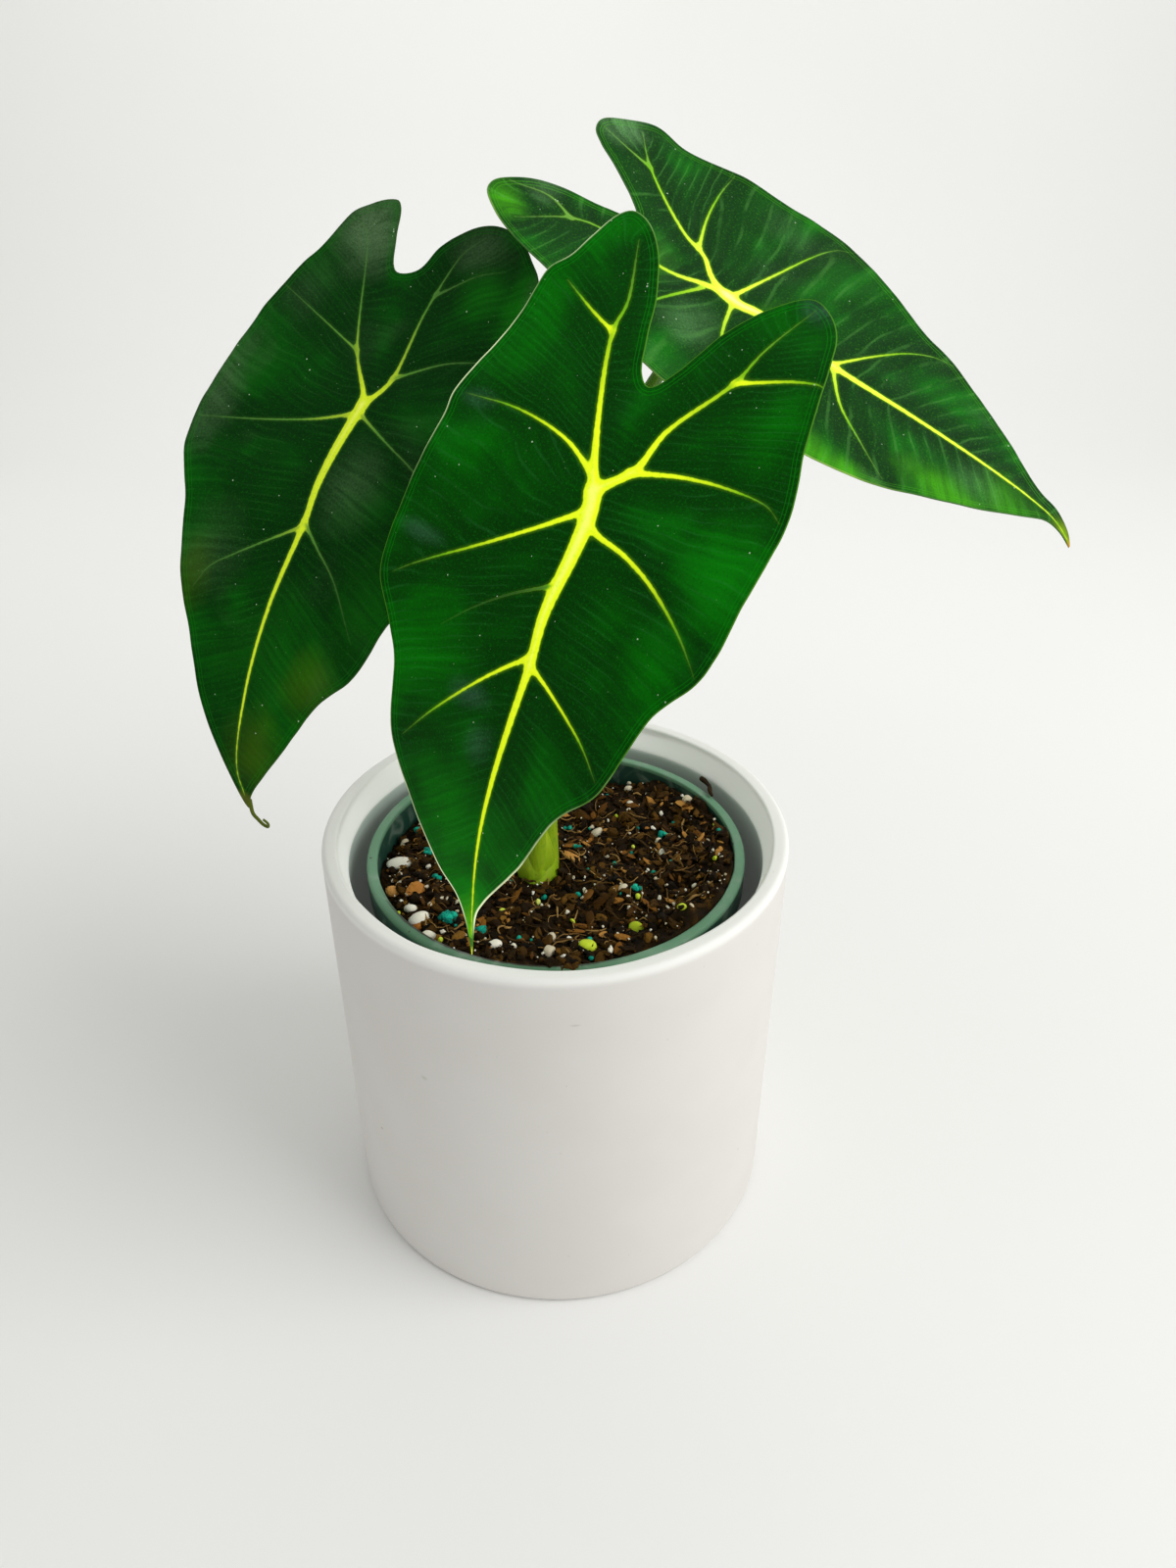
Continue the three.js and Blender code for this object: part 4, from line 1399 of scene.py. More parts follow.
FRONT = LeafPlan(
    name="front",
    junction=(9.7, -50.8, 232.8),
    tipward=(-0.443, -0.431, -0.786),
    face=(-0.364, -0.715, 0.597),
    bend=(-0.28, -0.147, -0.215, 0.095, 0.091, -0.111),
    wave=(1.2, 46, 0.6),
    outline=(
        (-0.5, -22), (2, -24), (7.5, -39.5), (12.5, -48.5), (17.5, -53), (21.5, -54),
        (24, -52), (28, -41), (31, -37), (32.3, -27), (36.8, -8), (36.3, -2.5),
        (38, 12), (39, 24.5), (37.8, 31), (31.5, 39.5), (28, 46), (25.5, 60),
        (17.5, 72), (11, 79.5), (8, 82.5), (3, 86), (0, 91), (-2.2, 98.3),
        (-2.8, 93), (-3.5, 87), (-12.5, 72.5), (-18.5, 59.5), (-25.5, 51), (-30.5, 33),
        (-36, 25), (-37.7, 19), (-38, 9.5), (-37.5, -8.5), (-34.5, -19.5), (-31, -35.5),
        (-28.5, -43), (-25, -46.8), (-20.5, -48.5), (-15.5, -45.5), (-8.5, -36.5), (-4, -26.5),
    ),
    veins=(
        Vein(((0, 0), (-1.2, 3.6), (-1.7, 11.4), (-1.1, 25), (-2.1, 35.6), (-1.1, 72), (-2.2, 97)),
             (3.7, 3.4, 2.8, 2.25, 1.7, 1.45, 1.2, 0.95, 0.65, 0.45, 0.25), MIDRIB_TONES, 0.55, (0, 1)),
        Vein(((0, 0), (2.5, -5), (12, -29.5), (12.3, -36), (17, -48.5)), (2.0, 1.25, 0.95, 0.65, 0.25),
             LOBE_TONES, 0.45, (0, -1)),
        Vein(((12, -29.5), (18, -32), (26, -36)), (0.9, 0.6, 0.25), (0.9, 0.6, 0.15), 0.25, (-32, 0.2)),
        Vein(((0, 0), (-2, -2), (-6, -6.5), (-8, -15), (-15.5, -28), (-17.5, -35.5), (-22, -46.5)),
             (2.3, 1.5, 0.95, 0.8, 0.45, 0.2), LOBE_TONES, 0.45, (0, -1)),
        Vein(((-15.5, -28), (-20, -29.7), (-26.5, -32), (-31, -32.5), (-36, -30)), (1.0, 0.7, 0.5, 0.25),
             (0.9, 0.7, 0.4, 0.1), 0.25, (-31, 0.2)),
        Vein(((1.5, -2.5), (10, -7), (22.5, -9), (34, -8)), (1.2, 0.75, 0.5, 0.2), SIDE_TONES, 0.3,
             (-5, 0.25)),
        Vein(((-5, -5.5), (-16, -8.5), (-26.5, -9.5), (-32.5, -9), (-36, -7)), (1.3, 0.95, 0.7, 0.42, 0.2),
             SIDE_TONES, 0.3, (-8, 0.25)),
        Vein(((-0.5, 4), (7, 10), (16, 16.5), (31, 26.5), (35, 29.8)), (1.35, 0.9, 0.7, 0.45, 0.2),
             SIDE_TONES, 0.3, (5, 0.3)),
        Vein(((-1.6, 6), (-5, 7.4), (-12, 9), (-20, 12.5), (-29, 18.5), (-35, 24)),
             (1.35, 1.0, 0.8, 0.5, 0.2), SIDE_TONES, 0.3, (7, 0.3)),
        Vein(((-1.8, 33), (6, 40), (16.5, 51.5), (22.5, 59)), (1.1, 0.7, 0.5, 0.2), SIDE_TONES, 0.3,
             (34, 0.3)),
        Vein(((-2, 34.5), (-8, 37.5), (-18.5, 44), (-24, 49)), (1.1, 0.7, 0.5, 0.2), SIDE_TONES, 0.3,
             (35, 0.3)),
        Vein(((-1, 19), (7.5, 24), (14.5, 29.5), (20, 35)), (0.8, 0.6, 0.4, 0.2), (0.3, 0.1, 0.05, 0.0), 0.1,
             (19, 0.3)),
    ),
)

LEFT = LeafPlan(
    name="left",
    junction=(-41.2, -1.8, 235.8),
    tipward=(-0.389, -0.564, -0.728),
    face=(-0.264, -0.689, 0.675),
    bend=(-0.083, -0.162, 0.118, 0.063, 0.033, 0.146),
    wave=(1.3, 42, 2.2),
    outline=(
        (5.3, -31.5), (6.8, -33), (9, -39.5), (10.4, -45.5), (12, -47.5), (14.5, -47.5),
        (19, -45.5), (23, -43), (28, -34), (31.5, -28.5), (34.5, -17.5), (35.5, -10),
        (39.5, 4.5), (40.5, 10.5), (38.5, 20.5), (32, 32.5), (27, 49.5), (20, 61.5),
        (12.5, 75.5), (4.5, 85.5), (-3, 92.5), (-3.3, 89.5), (-9.5, 77.5), (-15.5, 65),
        (-22, 57), (-26.5, 44.5), (-31, 36), (-35, 26), (-37.5, 13), (-38, 2),
        (-37, -10), (-34.5, -23), (-30.5, -35.5), (-27.5, -39), (-22, -44), (-15, -45.7),
        (-9, -44), (-3, -39), (0.5, -32.8),
    ),
    veins=(
        Vein(((0, 0), (1.8, 12.6), (2.3, 21), (1.8, 29), (3.1, 49.4), (3, 69.6), (1.5, 85.1), (-1.5, 90)),
             (2.7, 2.3, 1.8, 1.4, 1.15, 0.95, 0.8, 0.65, 0.4, 0.25), MIDRIB_TONES, 0.55, (0, 1)),
        Vein(((0, 0), (1, -2.5), (7, -11.5), (16.5, -37), (18.5, -40), (22.5, -41.5)),
             (1.5, 0.7, 0.5, 0.4, 0.25), (0.95, 0.6, 0.4, 0.22, 0.05), 0.4, (0, -1)),
        Vein(((7, -11.5), (20, -17), (33, -22.5)), (0.5, 0.4, 0.2), (0.5, 0.3, 0.1), 0.25, (-14, 0.2)),
        Vein(((0, 0), (-3, -4), (-4.5, -7.5), (-5.5, -23), (-7.5, -33), (-9.5, -38.5), (-13.5, -42.5)),
             (1.6, 0.85, 0.6, 0.45, 0.25), (0.95, 0.65, 0.45, 0.3, 0.05), 0.4, (0, -1)),
        Vein(((-6.5, -28), (-15, -34), (-21.5, -36)), (0.5, 0.4, 0.25), (0.3, 0.18, 0.05), 0.2, (-29, 0.2)),
        Vein(((-4.5, -7.5), (-15, -13.5), (-21.5, -15.5), (-31, -17)), (0.7, 0.5, 0.35, 0.2),
             (0.5, 0.3, 0.18, 0.05), 0.25, (-9, 0.25)),
        Vein(((2, 3), (9, 6), (21, 9.5), (39, 13.5)), (0.9, 0.55, 0.4, 0.25), (0.7, 0.42, 0.3, 0.12), 0.3,
             (3, 0.3)),
        Vein(((-1, 2.5), (-10, 7), (-18.5, 11), (-30, 18)), (0.8, 0.5, 0.4, 0.2), (0.55, 0.32, 0.2, 0.05),
             0.25, (3, 0.3)),
        Vein(((2.4, 30.5), (15.5, 41), (20.5, 45.5), (23, 51)), (0.8, 0.5, 0.4, 0.2), (0.6, 0.36, 0.24, 0.1),
             0.25, (31, 0.3)),
        Vein(((1.8, 29), (-4, 34), (-10, 39), (-19, 50.5)), (0.8, 0.5, 0.4, 0.2), (0.5, 0.28, 0.15, 0.03),
             0.25, (30, 0.3)),
    ),
    tail=(
        (-2.6, 90.5, 0), (-3.9, 93.2, 0), (-5.3, 93.9, 0.2), (-7, 94.6, 0.3), (-8.6, 94.6, 0.8),
        (-9, 93.9, 1.7), (-8, 93.4, 2.3),
    ),
)

BACK = LeafPlan(
    name="back",
    junction=(39.4, 10.2, 256.4),
    tipward=(0.812, -0.364, -0.456),
    face=(0.256, -0.48, 0.839),
    bend=(0.057, -0.094, 0.219, 0.09, -0.024, 0.004),
    wave=(1.2, 44, 4),
    outline=(
        (-2.5, -27), (1.5, -32.5), (6.5, -42.5), (10.5, -47), (15, -50), (19.5, -51.5),
        (23, -50.8), (25.3, -48), (27.5, -42), (29.7, -30.5), (32, -18), (33, -3),
        (34.5, 4), (34.5, 15), (32.2, 26), (29, 36.5), (24.5, 51.5), (21, 58),
        (11.5, 72), (5.5, 79.5), (0.7, 85.5), (-0.9, 89.5), (-2, 93.2), (-3.8, 92),
        (-5, 88), (-6.3, 81), (-14, 68), (-24.5, 49), (-26.5, 40), (-30, 32),
        (-37.5, 18), (-40, 11), (-39, 3), (-36.5, -5), (-35.3, -18), (-32, -31),
        (-31.3, -38.5), (-26, -43.7), (-19, -48), (-15, -47), (-13, -44), (-10.5, -38),
    ),
    veins=(
        Vein(((0, 0), (0.2, 3.8), (-0.9, 8.2), (0, 28.1), (-1.2, 52), (-2.4, 77.8), (-2.3, 85), (-2.4, 91.5)),
             (3.4, 2.9, 2.3, 1.8, 1.45, 1.2, 1.0, 0.8, 0.55, 0.3), MIDRIB_TONES, 0.5, (0, 1)),
        Vein(((0, 0), (-2, -5), (-6.5, -10), (-8.5, -16.5), (-19, -33), (-26, -40)),
             (1.9, 1.15, 0.85, 0.6, 0.25), (1.0, 0.85, 0.65, 0.45, 0.1), 0.4, (0, -1)),
        Vein(((-7.5, -12), (-17, -15.5), (-26.5, -17.5), (-34, -18)), (1.0, 0.65, 0.5, 0.2),
             (0.8, 0.6, 0.4, 0.1), 0.25, (-14, 0.25)),
        Vein(((-19, -33), (-18.5, -40), (-18, -46.5)), (0.8, 0.5, 0.3), (0.4, 0.2, 0.05), 0.15, (-38, 0.2)),
        Vein(((0, 0), (1, -5), (4.5, -12), (8, -30.5), (11.5, -35.5), (23, -43)), (1.8, 1.1, 0.7, 0.5, 0.25),
             (1.0, 0.75, 0.42, 0.26, 0.05), 0.4, (0, -1)),
        Vein(((11.5, -35.5), (10.8, -42), (16.5, -50)), (0.8, 0.5, 0.3), (0.3, 0.18, 0.05), 0.2, (-38, 0.2)),
        Vein(((2.5, -5), (14, -10), (29.5, -14)), (1.0, 0.6, 0.25), (0.6, 0.34, 0.08), 0.2, (-5, 0.25)),
        Vein(((-0.6, 1), (-14, 4.5), (-32, 9.5), (-36.5, 12), (-38, 15)), (1.3, 0.8, 0.6, 0.4, 0.2),
             (1.0, 0.8, 0.6, 0.35, 0.05), 0.3, (2, 0.3)),
        Vein(((0.3, 2), (12, 5.5), (23, 12), (31, 21)), (1.1, 0.7, 0.5, 0.2), (0.8, 0.6, 0.3, 0.05), 0.25,
             (2, 0.3)),
        Vein(((-0.6, 28), (-11, 34.5), (-18.5, 40.5), (-22.5, 46), (-23.5, 50.5)),
             (1.0, 0.65, 0.5, 0.35, 0.2), (0.85, 0.75, 0.5, 0.3, 0.1), 0.3, (29, 0.3)),
        Vein(((-0.2, 28), (9.5, 35), (15.5, 43), (21.5, 51.5)), (1.1, 0.7, 0.45, 0.2), (0.8, 0.6, 0.3, 0.05),
             0.25, (29, 0.3)),
    ),
    hook=(84, 9, 4.5),
)

FRONT_FINISH = LeafFinish(
    name="front leaf",
    bright_patches=(
        Patch((-31, 6), (11, 17), 0.45), Patch((-27, 24), (10, 13), 0.4), Patch((20, 40), (15, 17), 0.4),
        Patch((4, 71), (18, 16), 0.5), Patch((-1, 86), (13, 15), 1.0), Patch((-2.4, 93), (5, 9), 1.0),
        Patch((-27, -23), (8, 14), 0.3), Patch((28, -32), (9, 12), 0.4), Patch((21, -50), (7, 6), 0.4),
        Patch((-18, -42), (9, 8), 0.25),
    ),
    dark_patches=(
        Patch((-9, 22), (9, 14), 0.5), Patch((24, 9), (14, 9), 0.5), Patch((16, -8), (12, 11), 0.4),
        Patch((-11, -9), (9, 7), 0.35), Patch((3, 50), (5, 8), 0.3),
    ),
    sheen_patches=(
        Patch((9, 45), (7, 4), 0.4), Patch((4, 53), (5, 6), 0.3), Patch((31, 20), (8, 3), 0.3),
        Patch((-23, -47), (6, 5), 0.4), Patch((31, -8), (6, 3), 0.25),
    ),
    olive=srgb(120, 226, 16),
    tip=srgb(240, 250, 60),
    tip_from=95.4,
    olive_patches=(Patch((-1.8, 92.5), (6, 10), 0.85),),
    edge_light_patches=(
        Patch((0, 92), (90, 52), 1.0), Patch((36, -18), (12, 36), 0.8), Patch((26, -46), (14, 14), 0.5),
    ),
)

LEFT_FINISH = LeafFinish(
    name="left leaf",
    deep=srgb(0, 50, 2),
    middle=srgb(2, 88, 4),
    bright=srgb(16, 128, 6),
    sheen=srgb(84, 118, 76),
    olive=srgb(78, 120, 6),
    lime=srgb(214, 238, 40),
    lime_green=srgb(86, 144, 50),
    vein_end=srgb(78, 112, 78),
    edge=srgb(52, 92, 34),
    # The last two bright patches, on the upper right lobe, are painted light that lifts the lobe's dimly lit
    # end.
    bright_patches=(
        Patch((-20, 42), (12, 20), 0.4), Patch((0, 60), (18, 24), 0.3), Patch((-31, -28), (12, 15), 1.0),
        Patch((-19, -31), (10, 10), 0.55),
    ),
    dark_patches=(
        Patch((12, 22), (12, 14), 0.4), Patch((-18, 34), (8, 12), 0.4), Patch((24, -6), (12, 14), 0.3),
    ),
    sheen_patches=(
        Patch((16, -40), (14, 15), 0.85), Patch((26, -24), (10, 14), 0.12), Patch((37, 4), (10, 24), 0.42),
        Patch((-14, -40), (11, 8), 0.38), Patch((-32, -32), (5, 8), 0.5), Patch((-6, 19), (11, 15), 0.3),
        Patch((22, 42), (13, 14), 0.2),
    ),
    olive_patches=(
        Patch((-12, 62), (9, 11), 0.35), Patch((-2, 80), (10, 12), 0.4), Patch((24, 48), (7, 14), 0.3),
        Patch((-6, 95), (7, 4), 0.7),
    ),
    tip=srgb(84, 96, 30),
    tip_from=88.5,
    line_show=0.1,
    sheen_cover=0.1,
    specular=0.06,
    vein_glow=0.14,
)

BACK_FINISH = LeafFinish(
    name="back leaf",
    deep=srgb(0, 56, 4),
    middle=srgb(6, 110, 6),
    bright=srgb(74, 178, 0),
    sheen=srgb(112, 164, 104),
    lime=srgb(220, 240, 60),
    lime_highlight=srgb(242, 250, 150),
    edge=srgb(64, 112, 44),
    edge_light=srgb(150, 196, 80),
    vein_end=srgb(126, 166, 114),
    olive=srgb(150, 180, 16),
    bright_patches=(
        Patch((27, 40), (7, 26), 0.95), Patch((14, 66), (9, 18), 0.7), Patch((4, 76), (10, 14), 0.45),
        Patch((21, -47), (7, 7), 0.7), Patch((5, -19), (9, 9), 0.4), Patch((-2, 14), (9, 9), 0.4),
    ),
    dark_patches=(
        Patch((-15, -7), (10, 8), 0.7), Patch((10, 18), (9, 9), 0.4), Patch((-12, 30), (9, 12), 0.3),
        Patch((-17, -26), (7, 7), 0.3),
    ),
    sheen_patches=(
        Patch((-23, -44), (9, 8), 0.6), Patch((9, -44), (8, 6), 0.4), Patch((24, 50), (4, 6), 0.15),
        Patch((15, -2), (11, 9), 0.3), Patch((-30, 2), (8, 14), 0.1), Patch((5, 68), (8, 9), 0.2),
    ),
    olive_patches=(Patch((-1, 91), (5, 6), 0.9),),
    edge_light_patches=(Patch((34, 40), (16, 60), 1.0), Patch((22, -46), (8, 8), 0.6)),
    tip=srgb(222, 160, 30),
    tip_from=91.3,
    line_show=0.22,
    line_spacing=4.3,
    swell=1.8,
    quilt_shade=0.3,
    sheen_cover=0.07,
    specular=0.1,
    streak_show=0.45,
)


# Stems


@dataclass(frozen=True)
class StemPlan:
    """Where a petiole is rooted and the two points that steer its rise."""

    root: Point2
    low: Point3
    high: Point3


STEM_PLANS = {
    "front": StemPlan((-5, -8.2), (-5.8, -9, 165), (4, -34, 212)),
    "left": StemPlan((-8.1, -2.9), (-9.2, -2, 170), (-30, 4, 214)),
    "back": StemPlan((-2, -2.9), (-3.4, -2, 165), (8, 12, 232)),
}


@dataclass
class Petiole:
    """Stem from the crown to the vein junction of its leaf, grooved along its upper side."""

    plan: StemPlan
    leaf: Leaf
    foot_radius: float = 2.8
    neck_radius: float = 1.35
    foot_z: float = 90.0
    crown_z: float = 113.6
    neck_run: float = 3.0
    neck_depth: float = 2.35
    sides: int = 28

    def path(self) -> np.ndarray:
        """Centreline from the foot to the blade.

        Returns:
            Its points.
        """
        x, y = self.plan.root
        crown = np.array([x, y, self.crown_z])
        neck = self.leaf.settle(np.array([[0.0, 0.0]]), self.neck_depth)[0]
        bend = neck - self.neck_run * self.leaf.axes[2]
        low, high = np.array(self.plan.low), np.array(self.plan.high)
        t = np.linspace(0, 1, 90)[:, None]
        rise = (1 - t) ** 3 * crown + 3 * (1 - t) ** 2 * t * low + 3 * (1 - t) * t**2 * high + t**3 * bend
        foot = np.array([[x, y, self.foot_z]])
        into = self.leaf.settle(np.array([[0.0, 0.0]]), 0.75)
        return smooth_line(np.vstack([foot, rise[::6], rise[-1:], neck[None], into]), False, 1.5)

    def _radius(self, share: float, turn: float) -> float:
        slim = self.foot_radius + (self.neck_radius - self.foot_radius) * min(1.0, share * 1.25) ** 0.8
        r = self.foot_radius if share < 0.12 else min(slim + 0.3, self.foot_radius)
        groove = 0.08 * math.exp(-(((turn - math.pi) / 0.5) ** 2))
        flare = 0.35 * max(0.0, (share - 0.975) / 0.025) ** 2
        return r * (1 - groove) * 0.98 + flare

    def build(self, finish: StemFinish) -> None:
        """Make the stem.

        Args:
            finish: Its finish.
        """
        path = self.path()
        points, faces = tube(path, self._radius, self.sides)
        along = np.repeat(np.linspace(0, 1, len(path)), self.sides)
        turn = np.tile(round_turn(self.sides), len(path))
        length = np.linalg.norm(np.diff(path, axis=0), axis=1).sum()
        round_it = np.column_stack([np.cos(turn), np.sin(turn), along * length])
        fields = {Field.ALONG: along, Field.ROUND: round_it}
        node = f"petiole_{self.leaf.plan.name}"
        Piece(f"{node}_stem", Slot.PETIOLE, (node,), points, faces, fields).build(finish)


@dataclass(frozen=True)
class Sheath:
    """One sheathing base wrapped round the crown.

    Attributes:
        radius: Outer radius.
        opening: Where its open side looks, in degrees.
        span: How far round it reaches, in degrees.
        top: Height of its highest point.
        slant: How much lower its ends are.
        lean: How far its top moves in x and y.
    """

    radius: float
    opening: float
    span: float
    top: float
    slant: float
    lean: Point2


@dataclass
class Crown:
    """Overlapping sheathing bases where the stems leave the mix."""

    centre: Point2 = (-4.9, -4.9)
    bottom: float = 104.0
    thickness: float = 0.7
    squeeze: Point2 = (0.97, 1.13)
    steps: tuple[int, int] = (26, 60)
    sheaths: tuple[Sheath, ...] = (
        Sheath(6.0, 200, 250, 121.0, 7.0, (-1.4, 0.6)),
        Sheath(5.5, 20, 270, 124.0, 6.0, (-1.2, 0.5)),
        Sheath(4.9, 110, 300, 128.0, 5.0, (-0.6, 0.5)),
    )

    def _skin(self, sheath: Sheath, share: np.ndarray, side: np.ndarray, thin: int) -> tuple[np.ndarray, ...]:
        turn = np.radians(sheath.opening + 180 + side * sheath.span / 2)
        top = sheath.top - sheath.slant * np.abs(side) ** 2.2
        z = self.bottom + (top - self.bottom) * share
        bulge = 0.82 + 0.25 * np.sin(math.pi * np.minimum(1.0, share * 1.25)) ** 0.8 - 0.22 * share**3
        wall = self.thickness * (1 - 0.6 * np.maximum(share, np.abs(side)) ** 4)
        r = sheath.radius * bulge - thin * wall + 0.08 * np.sin(9 * turn)
        x = self.centre[0] + sheath.lean[0] * share + r * np.cos(turn) * self.squeeze[0]
        y = self.centre[1] + sheath.lean[1] * share + r * np.sin(turn) * self.squeeze[1]
        return np.column_stack([x, y, z]), np.column_stack([np.cos(turn), np.sin(turn), z * 0.4])

    def build(self, finish: StemFinish) -> None:
        """Make the crown.

        Args:
            finish: Its finish.
        """
        up, across = self.steps
        wide = across + 1
        sheet = (up + 1) * wide
        grid = np.meshgrid(np.linspace(0, 1, up + 1), np.linspace(-1, 1, wide), indexing="ij")
        share, side = (part.ravel() for part in grid)
        hem = [(k, k + 1) for k in range(across)]
        hem += [(up * wide + k + 1, up * wide + k) for k in range(across)]
        for row in range(0, up * wide, wide):
            hem += [(row + wide, row), (row + across, row + across + wide)]
        points, rounds = [], []
        faces: Faces = []
        for i, sheath in enumerate(self.sheaths):
            for thin in (0, 1):
                skin, round_it = self._skin(sheath, share, side, thin)
                points.append(skin)
                rounds.append(round_it)
            base = 2 * i * sheet
            faces += band_faces(up + 1, wide, base, False)
            faces += flipped(band_faces(up + 1, wide, base + sheet, False))
            faces += [(base + a, base + a + sheet, base + b + sheet, base + b) for a, b in hem]
        fields = {Field.ALONG: np.tile(share, len(points)), Field.ROUND: np.vstack(rounds)}
        Piece("crown_sheaths", Slot.PETIOLE, (), np.vstack(points), faces, fields, 60).build(finish)


# Pots


@dataclass
class Cachepot:
    """Straight ceramic pot with a rounded foot, a flat lip and a bevel inside it."""

    radius: float = 63.5
    height: float = 122.0
    inner_radius: float = 57.0
    floor: float = 6.0
    glaze_radius: float = 59.3
    lip_depth: float = 7.3
    lip_round: float = 1.6
    foot_round: float = 2.0
    segments: int = 300

    def build(self, finish: CeramicFinish) -> None:
        """Make the pot.

        Args:
            finish: Its finish.
        """
        r, h = self.radius, self.height
        bevel_low = h - self.lip_depth
        profile: list[Point2] = [(20, 0), (45, 0)]
        profile += arc((r - self.foot_round, self.foot_round), self.foot_round, -90, 0, 6)
        profile += [(r, z) for z in np.linspace(6, h - 6, 22)]
        profile += arc((r - self.lip_round, h - self.lip_round), self.lip_round, 0, 90, 8)
        profile += [(r - 2.4, h), (self.glaze_radius + 1, h - 0.05)]
        profile += arc((self.glaze_radius + 0.8, h - 0.95), 0.9, 95, 160, 5)
        profile += [
            (self.glaze_radius - 0.6, h - 2.6),
            (self.glaze_radius - 1.5, h - 5),
            (self.inner_radius + 0.25, bevel_low + 0.9),
            (self.inner_radius, bevel_low),
        ]
        profile += [(self.inner_radius, z) for z in np.linspace(bevel_low - 2, self.floor + 6, 14)]
        profile += arc((self.inner_radius - 5, self.floor + 5), 5, 0, -90, 6)
        profile.append((30, self.floor))
        turn = round_turn(self.segments)
        points, faces = capped([ring(r, z, turn) for r, z in profile], 0, self.floor)
        outside = np.linalg.norm(points[:, :2], axis=1)
        keep = np.maximum(outside, 1e-6)
        uneven = np.minimum(rolling(points, 70.0, 11) * 0.03 - 0.06, 0)
        points[:, :2] *= (1 + np.where(outside > 40, uneven, 0) / keep)[:, None]
        lip = smoothstep(h - 7, h - 2, points[:, 2]) * (outside < self.glaze_radius + 1.6)
        wavy = 0.22 * rolling(points[:, :2] / keep[:, None] * 30, 24.0, 17) * lip / keep
        points[:, :2] *= 1 + wavy[:, None]
        top = smoothstep(h - 4, h, points[:, 2])
        points[:, 2] -= top * (0.14 + 0.14 * rolling(points[:, :2], 40.0, 5))
        Piece("cachepot_body", Slot.CACHEPOT, ("cachepot",), points, faces, {}, 60).build(finish)


@dataclass
class NurseryPot:
    """Thin plastic pot with a banded rim and drain holes."""

    foot_z: float = 6.3
    rim_z: float = 114.3
    rim_radius: float = 52.3
    mouth_radius: float = 49.4
    band: float = 9.0
    base_radius: float = 39.0
    wall: float = 1.3
    floor: float = 2.0
    drain_radius: float = 3.5
    drain_circle: float = 24.0
    drains: int = 6
    drain_steps: int = 28
    segments: int = 240

    def _drain_centres(self) -> np.ndarray:
        return ring(self.drain_circle, 0.0, round_turn(self.drains))

    def _drains(self, z: float) -> list[np.ndarray]:
        hole = ring(self.drain_radius, z, round_turn(self.drain_steps))
        return [hole + centre for centre in self._drain_centres()]

    def _floor(self, z: float, reach: float) -> tuple[np.ndarray, Faces]:
        loops = [ring(reach, z, round_turn(120)), *self._drains(z)]
        edges = []
        for i, loop in enumerate(loops):
            edges += chain(sum(map(len, loops[:i])), len(loop), True)
        places, faces = triangulated(np.vstack(loops)[:, :2], edges)
        middles = places[np.array(faces)].mean(axis=1)
        away = [np.linalg.norm(middles - centre[:2], axis=1) for centre in self._drain_centres()]
        solid = np.min(away, axis=0) >= self.drain_radius * 0.98
        faces = [face for face, good in zip(faces, solid) if good]
        return np.column_stack([places, np.full(len(places), z)]), faces

    def build(self, finish: PlasticFinish) -> None:
        """Make the pot.

        Args:
            finish: Its finish.
        """
        r, mouth, band_z = self.rim_radius, self.mouth_radius, self.rim_z - self.band
        inner_foot = self.base_radius - self.wall
        floor_top = self.foot_z + self.floor
        plate = inner_foot - 1.5
        profile: list[Point2] = [(plate, self.foot_z), (self.base_radius - 1, self.foot_z)]
        profile += arc((self.base_radius - 1, self.foot_z + 1), 1.0, -80, -5, 4)
        profile += [(r - 1.7, band_z - 1), (r - 1.5, band_z - 0.4)]
        profile += [(r - 0.4, band_z - 0.1), (r - 0.2, band_z + 0.3)]
        profile += arc((r - 1, self.rim_z - 1), 1.0, 0, 90, 6)
        profile += arc((mouth + 0.5, self.rim_z - 0.5), 0.5, 90, 180, 4)
        profile += [(mouth - 0.2, band_z - 2), (inner_foot, floor_top + 0.3), (inner_foot - 0.3, floor_top)]
        profile.append((plate, floor_top))
        turn = round_turn(self.segments)
        points = [ring(reach, z, turn) for reach, z in profile]
        faces = band_faces(len(profile), self.segments)

        def add(places: np.ndarray, plain: Faces) -> None:
            base = sum(map(len, points))
            points.append(places)
            faces.extend(tuple(i + base for i in face) for face in plain)

        under, under_faces = self._floor(self.foot_z, plate)
        add(under, flipped(under_faces))
        add(*self._floor(floor_top, plate))
        for low, high in zip(self._drains(self.foot_z), self._drains(floor_top)):
            add(np.vstack([low, high]), flipped(band_faces(2, self.drain_steps)))
        places = np.vstack(points)
        warp = smoothstep(band_z, self.rim_z, places[:, 2]) * 0.25
        reach = np.maximum(np.linalg.norm(places[:, :2], axis=1), 1e-6)
        squash = 1 - warp * (1 + rolling(places[:, :2] / reach[:, None] * 30, 40.0, 3)) / 2 / reach
        places[:, :2] *= squash[:, None]
        Piece("nursery_pot_body", Slot.NURSERY_POT, ("nursery_pot",), places, faces, {}, 45).build(finish)


# Potting mix


class Matter(Enum):
    """Kinds of loose matter in the mix."""

    PERLITE = "perlite"
    TAN = "tan pebbles"
    TEAL = "teal prills"
    LIME = "pale green prills"


@dataclass(frozen=True)
class Lump:
    """One placed lump: its place, half sizes and turn in degrees."""

    place: Point2
    size: Point3
    turn: float


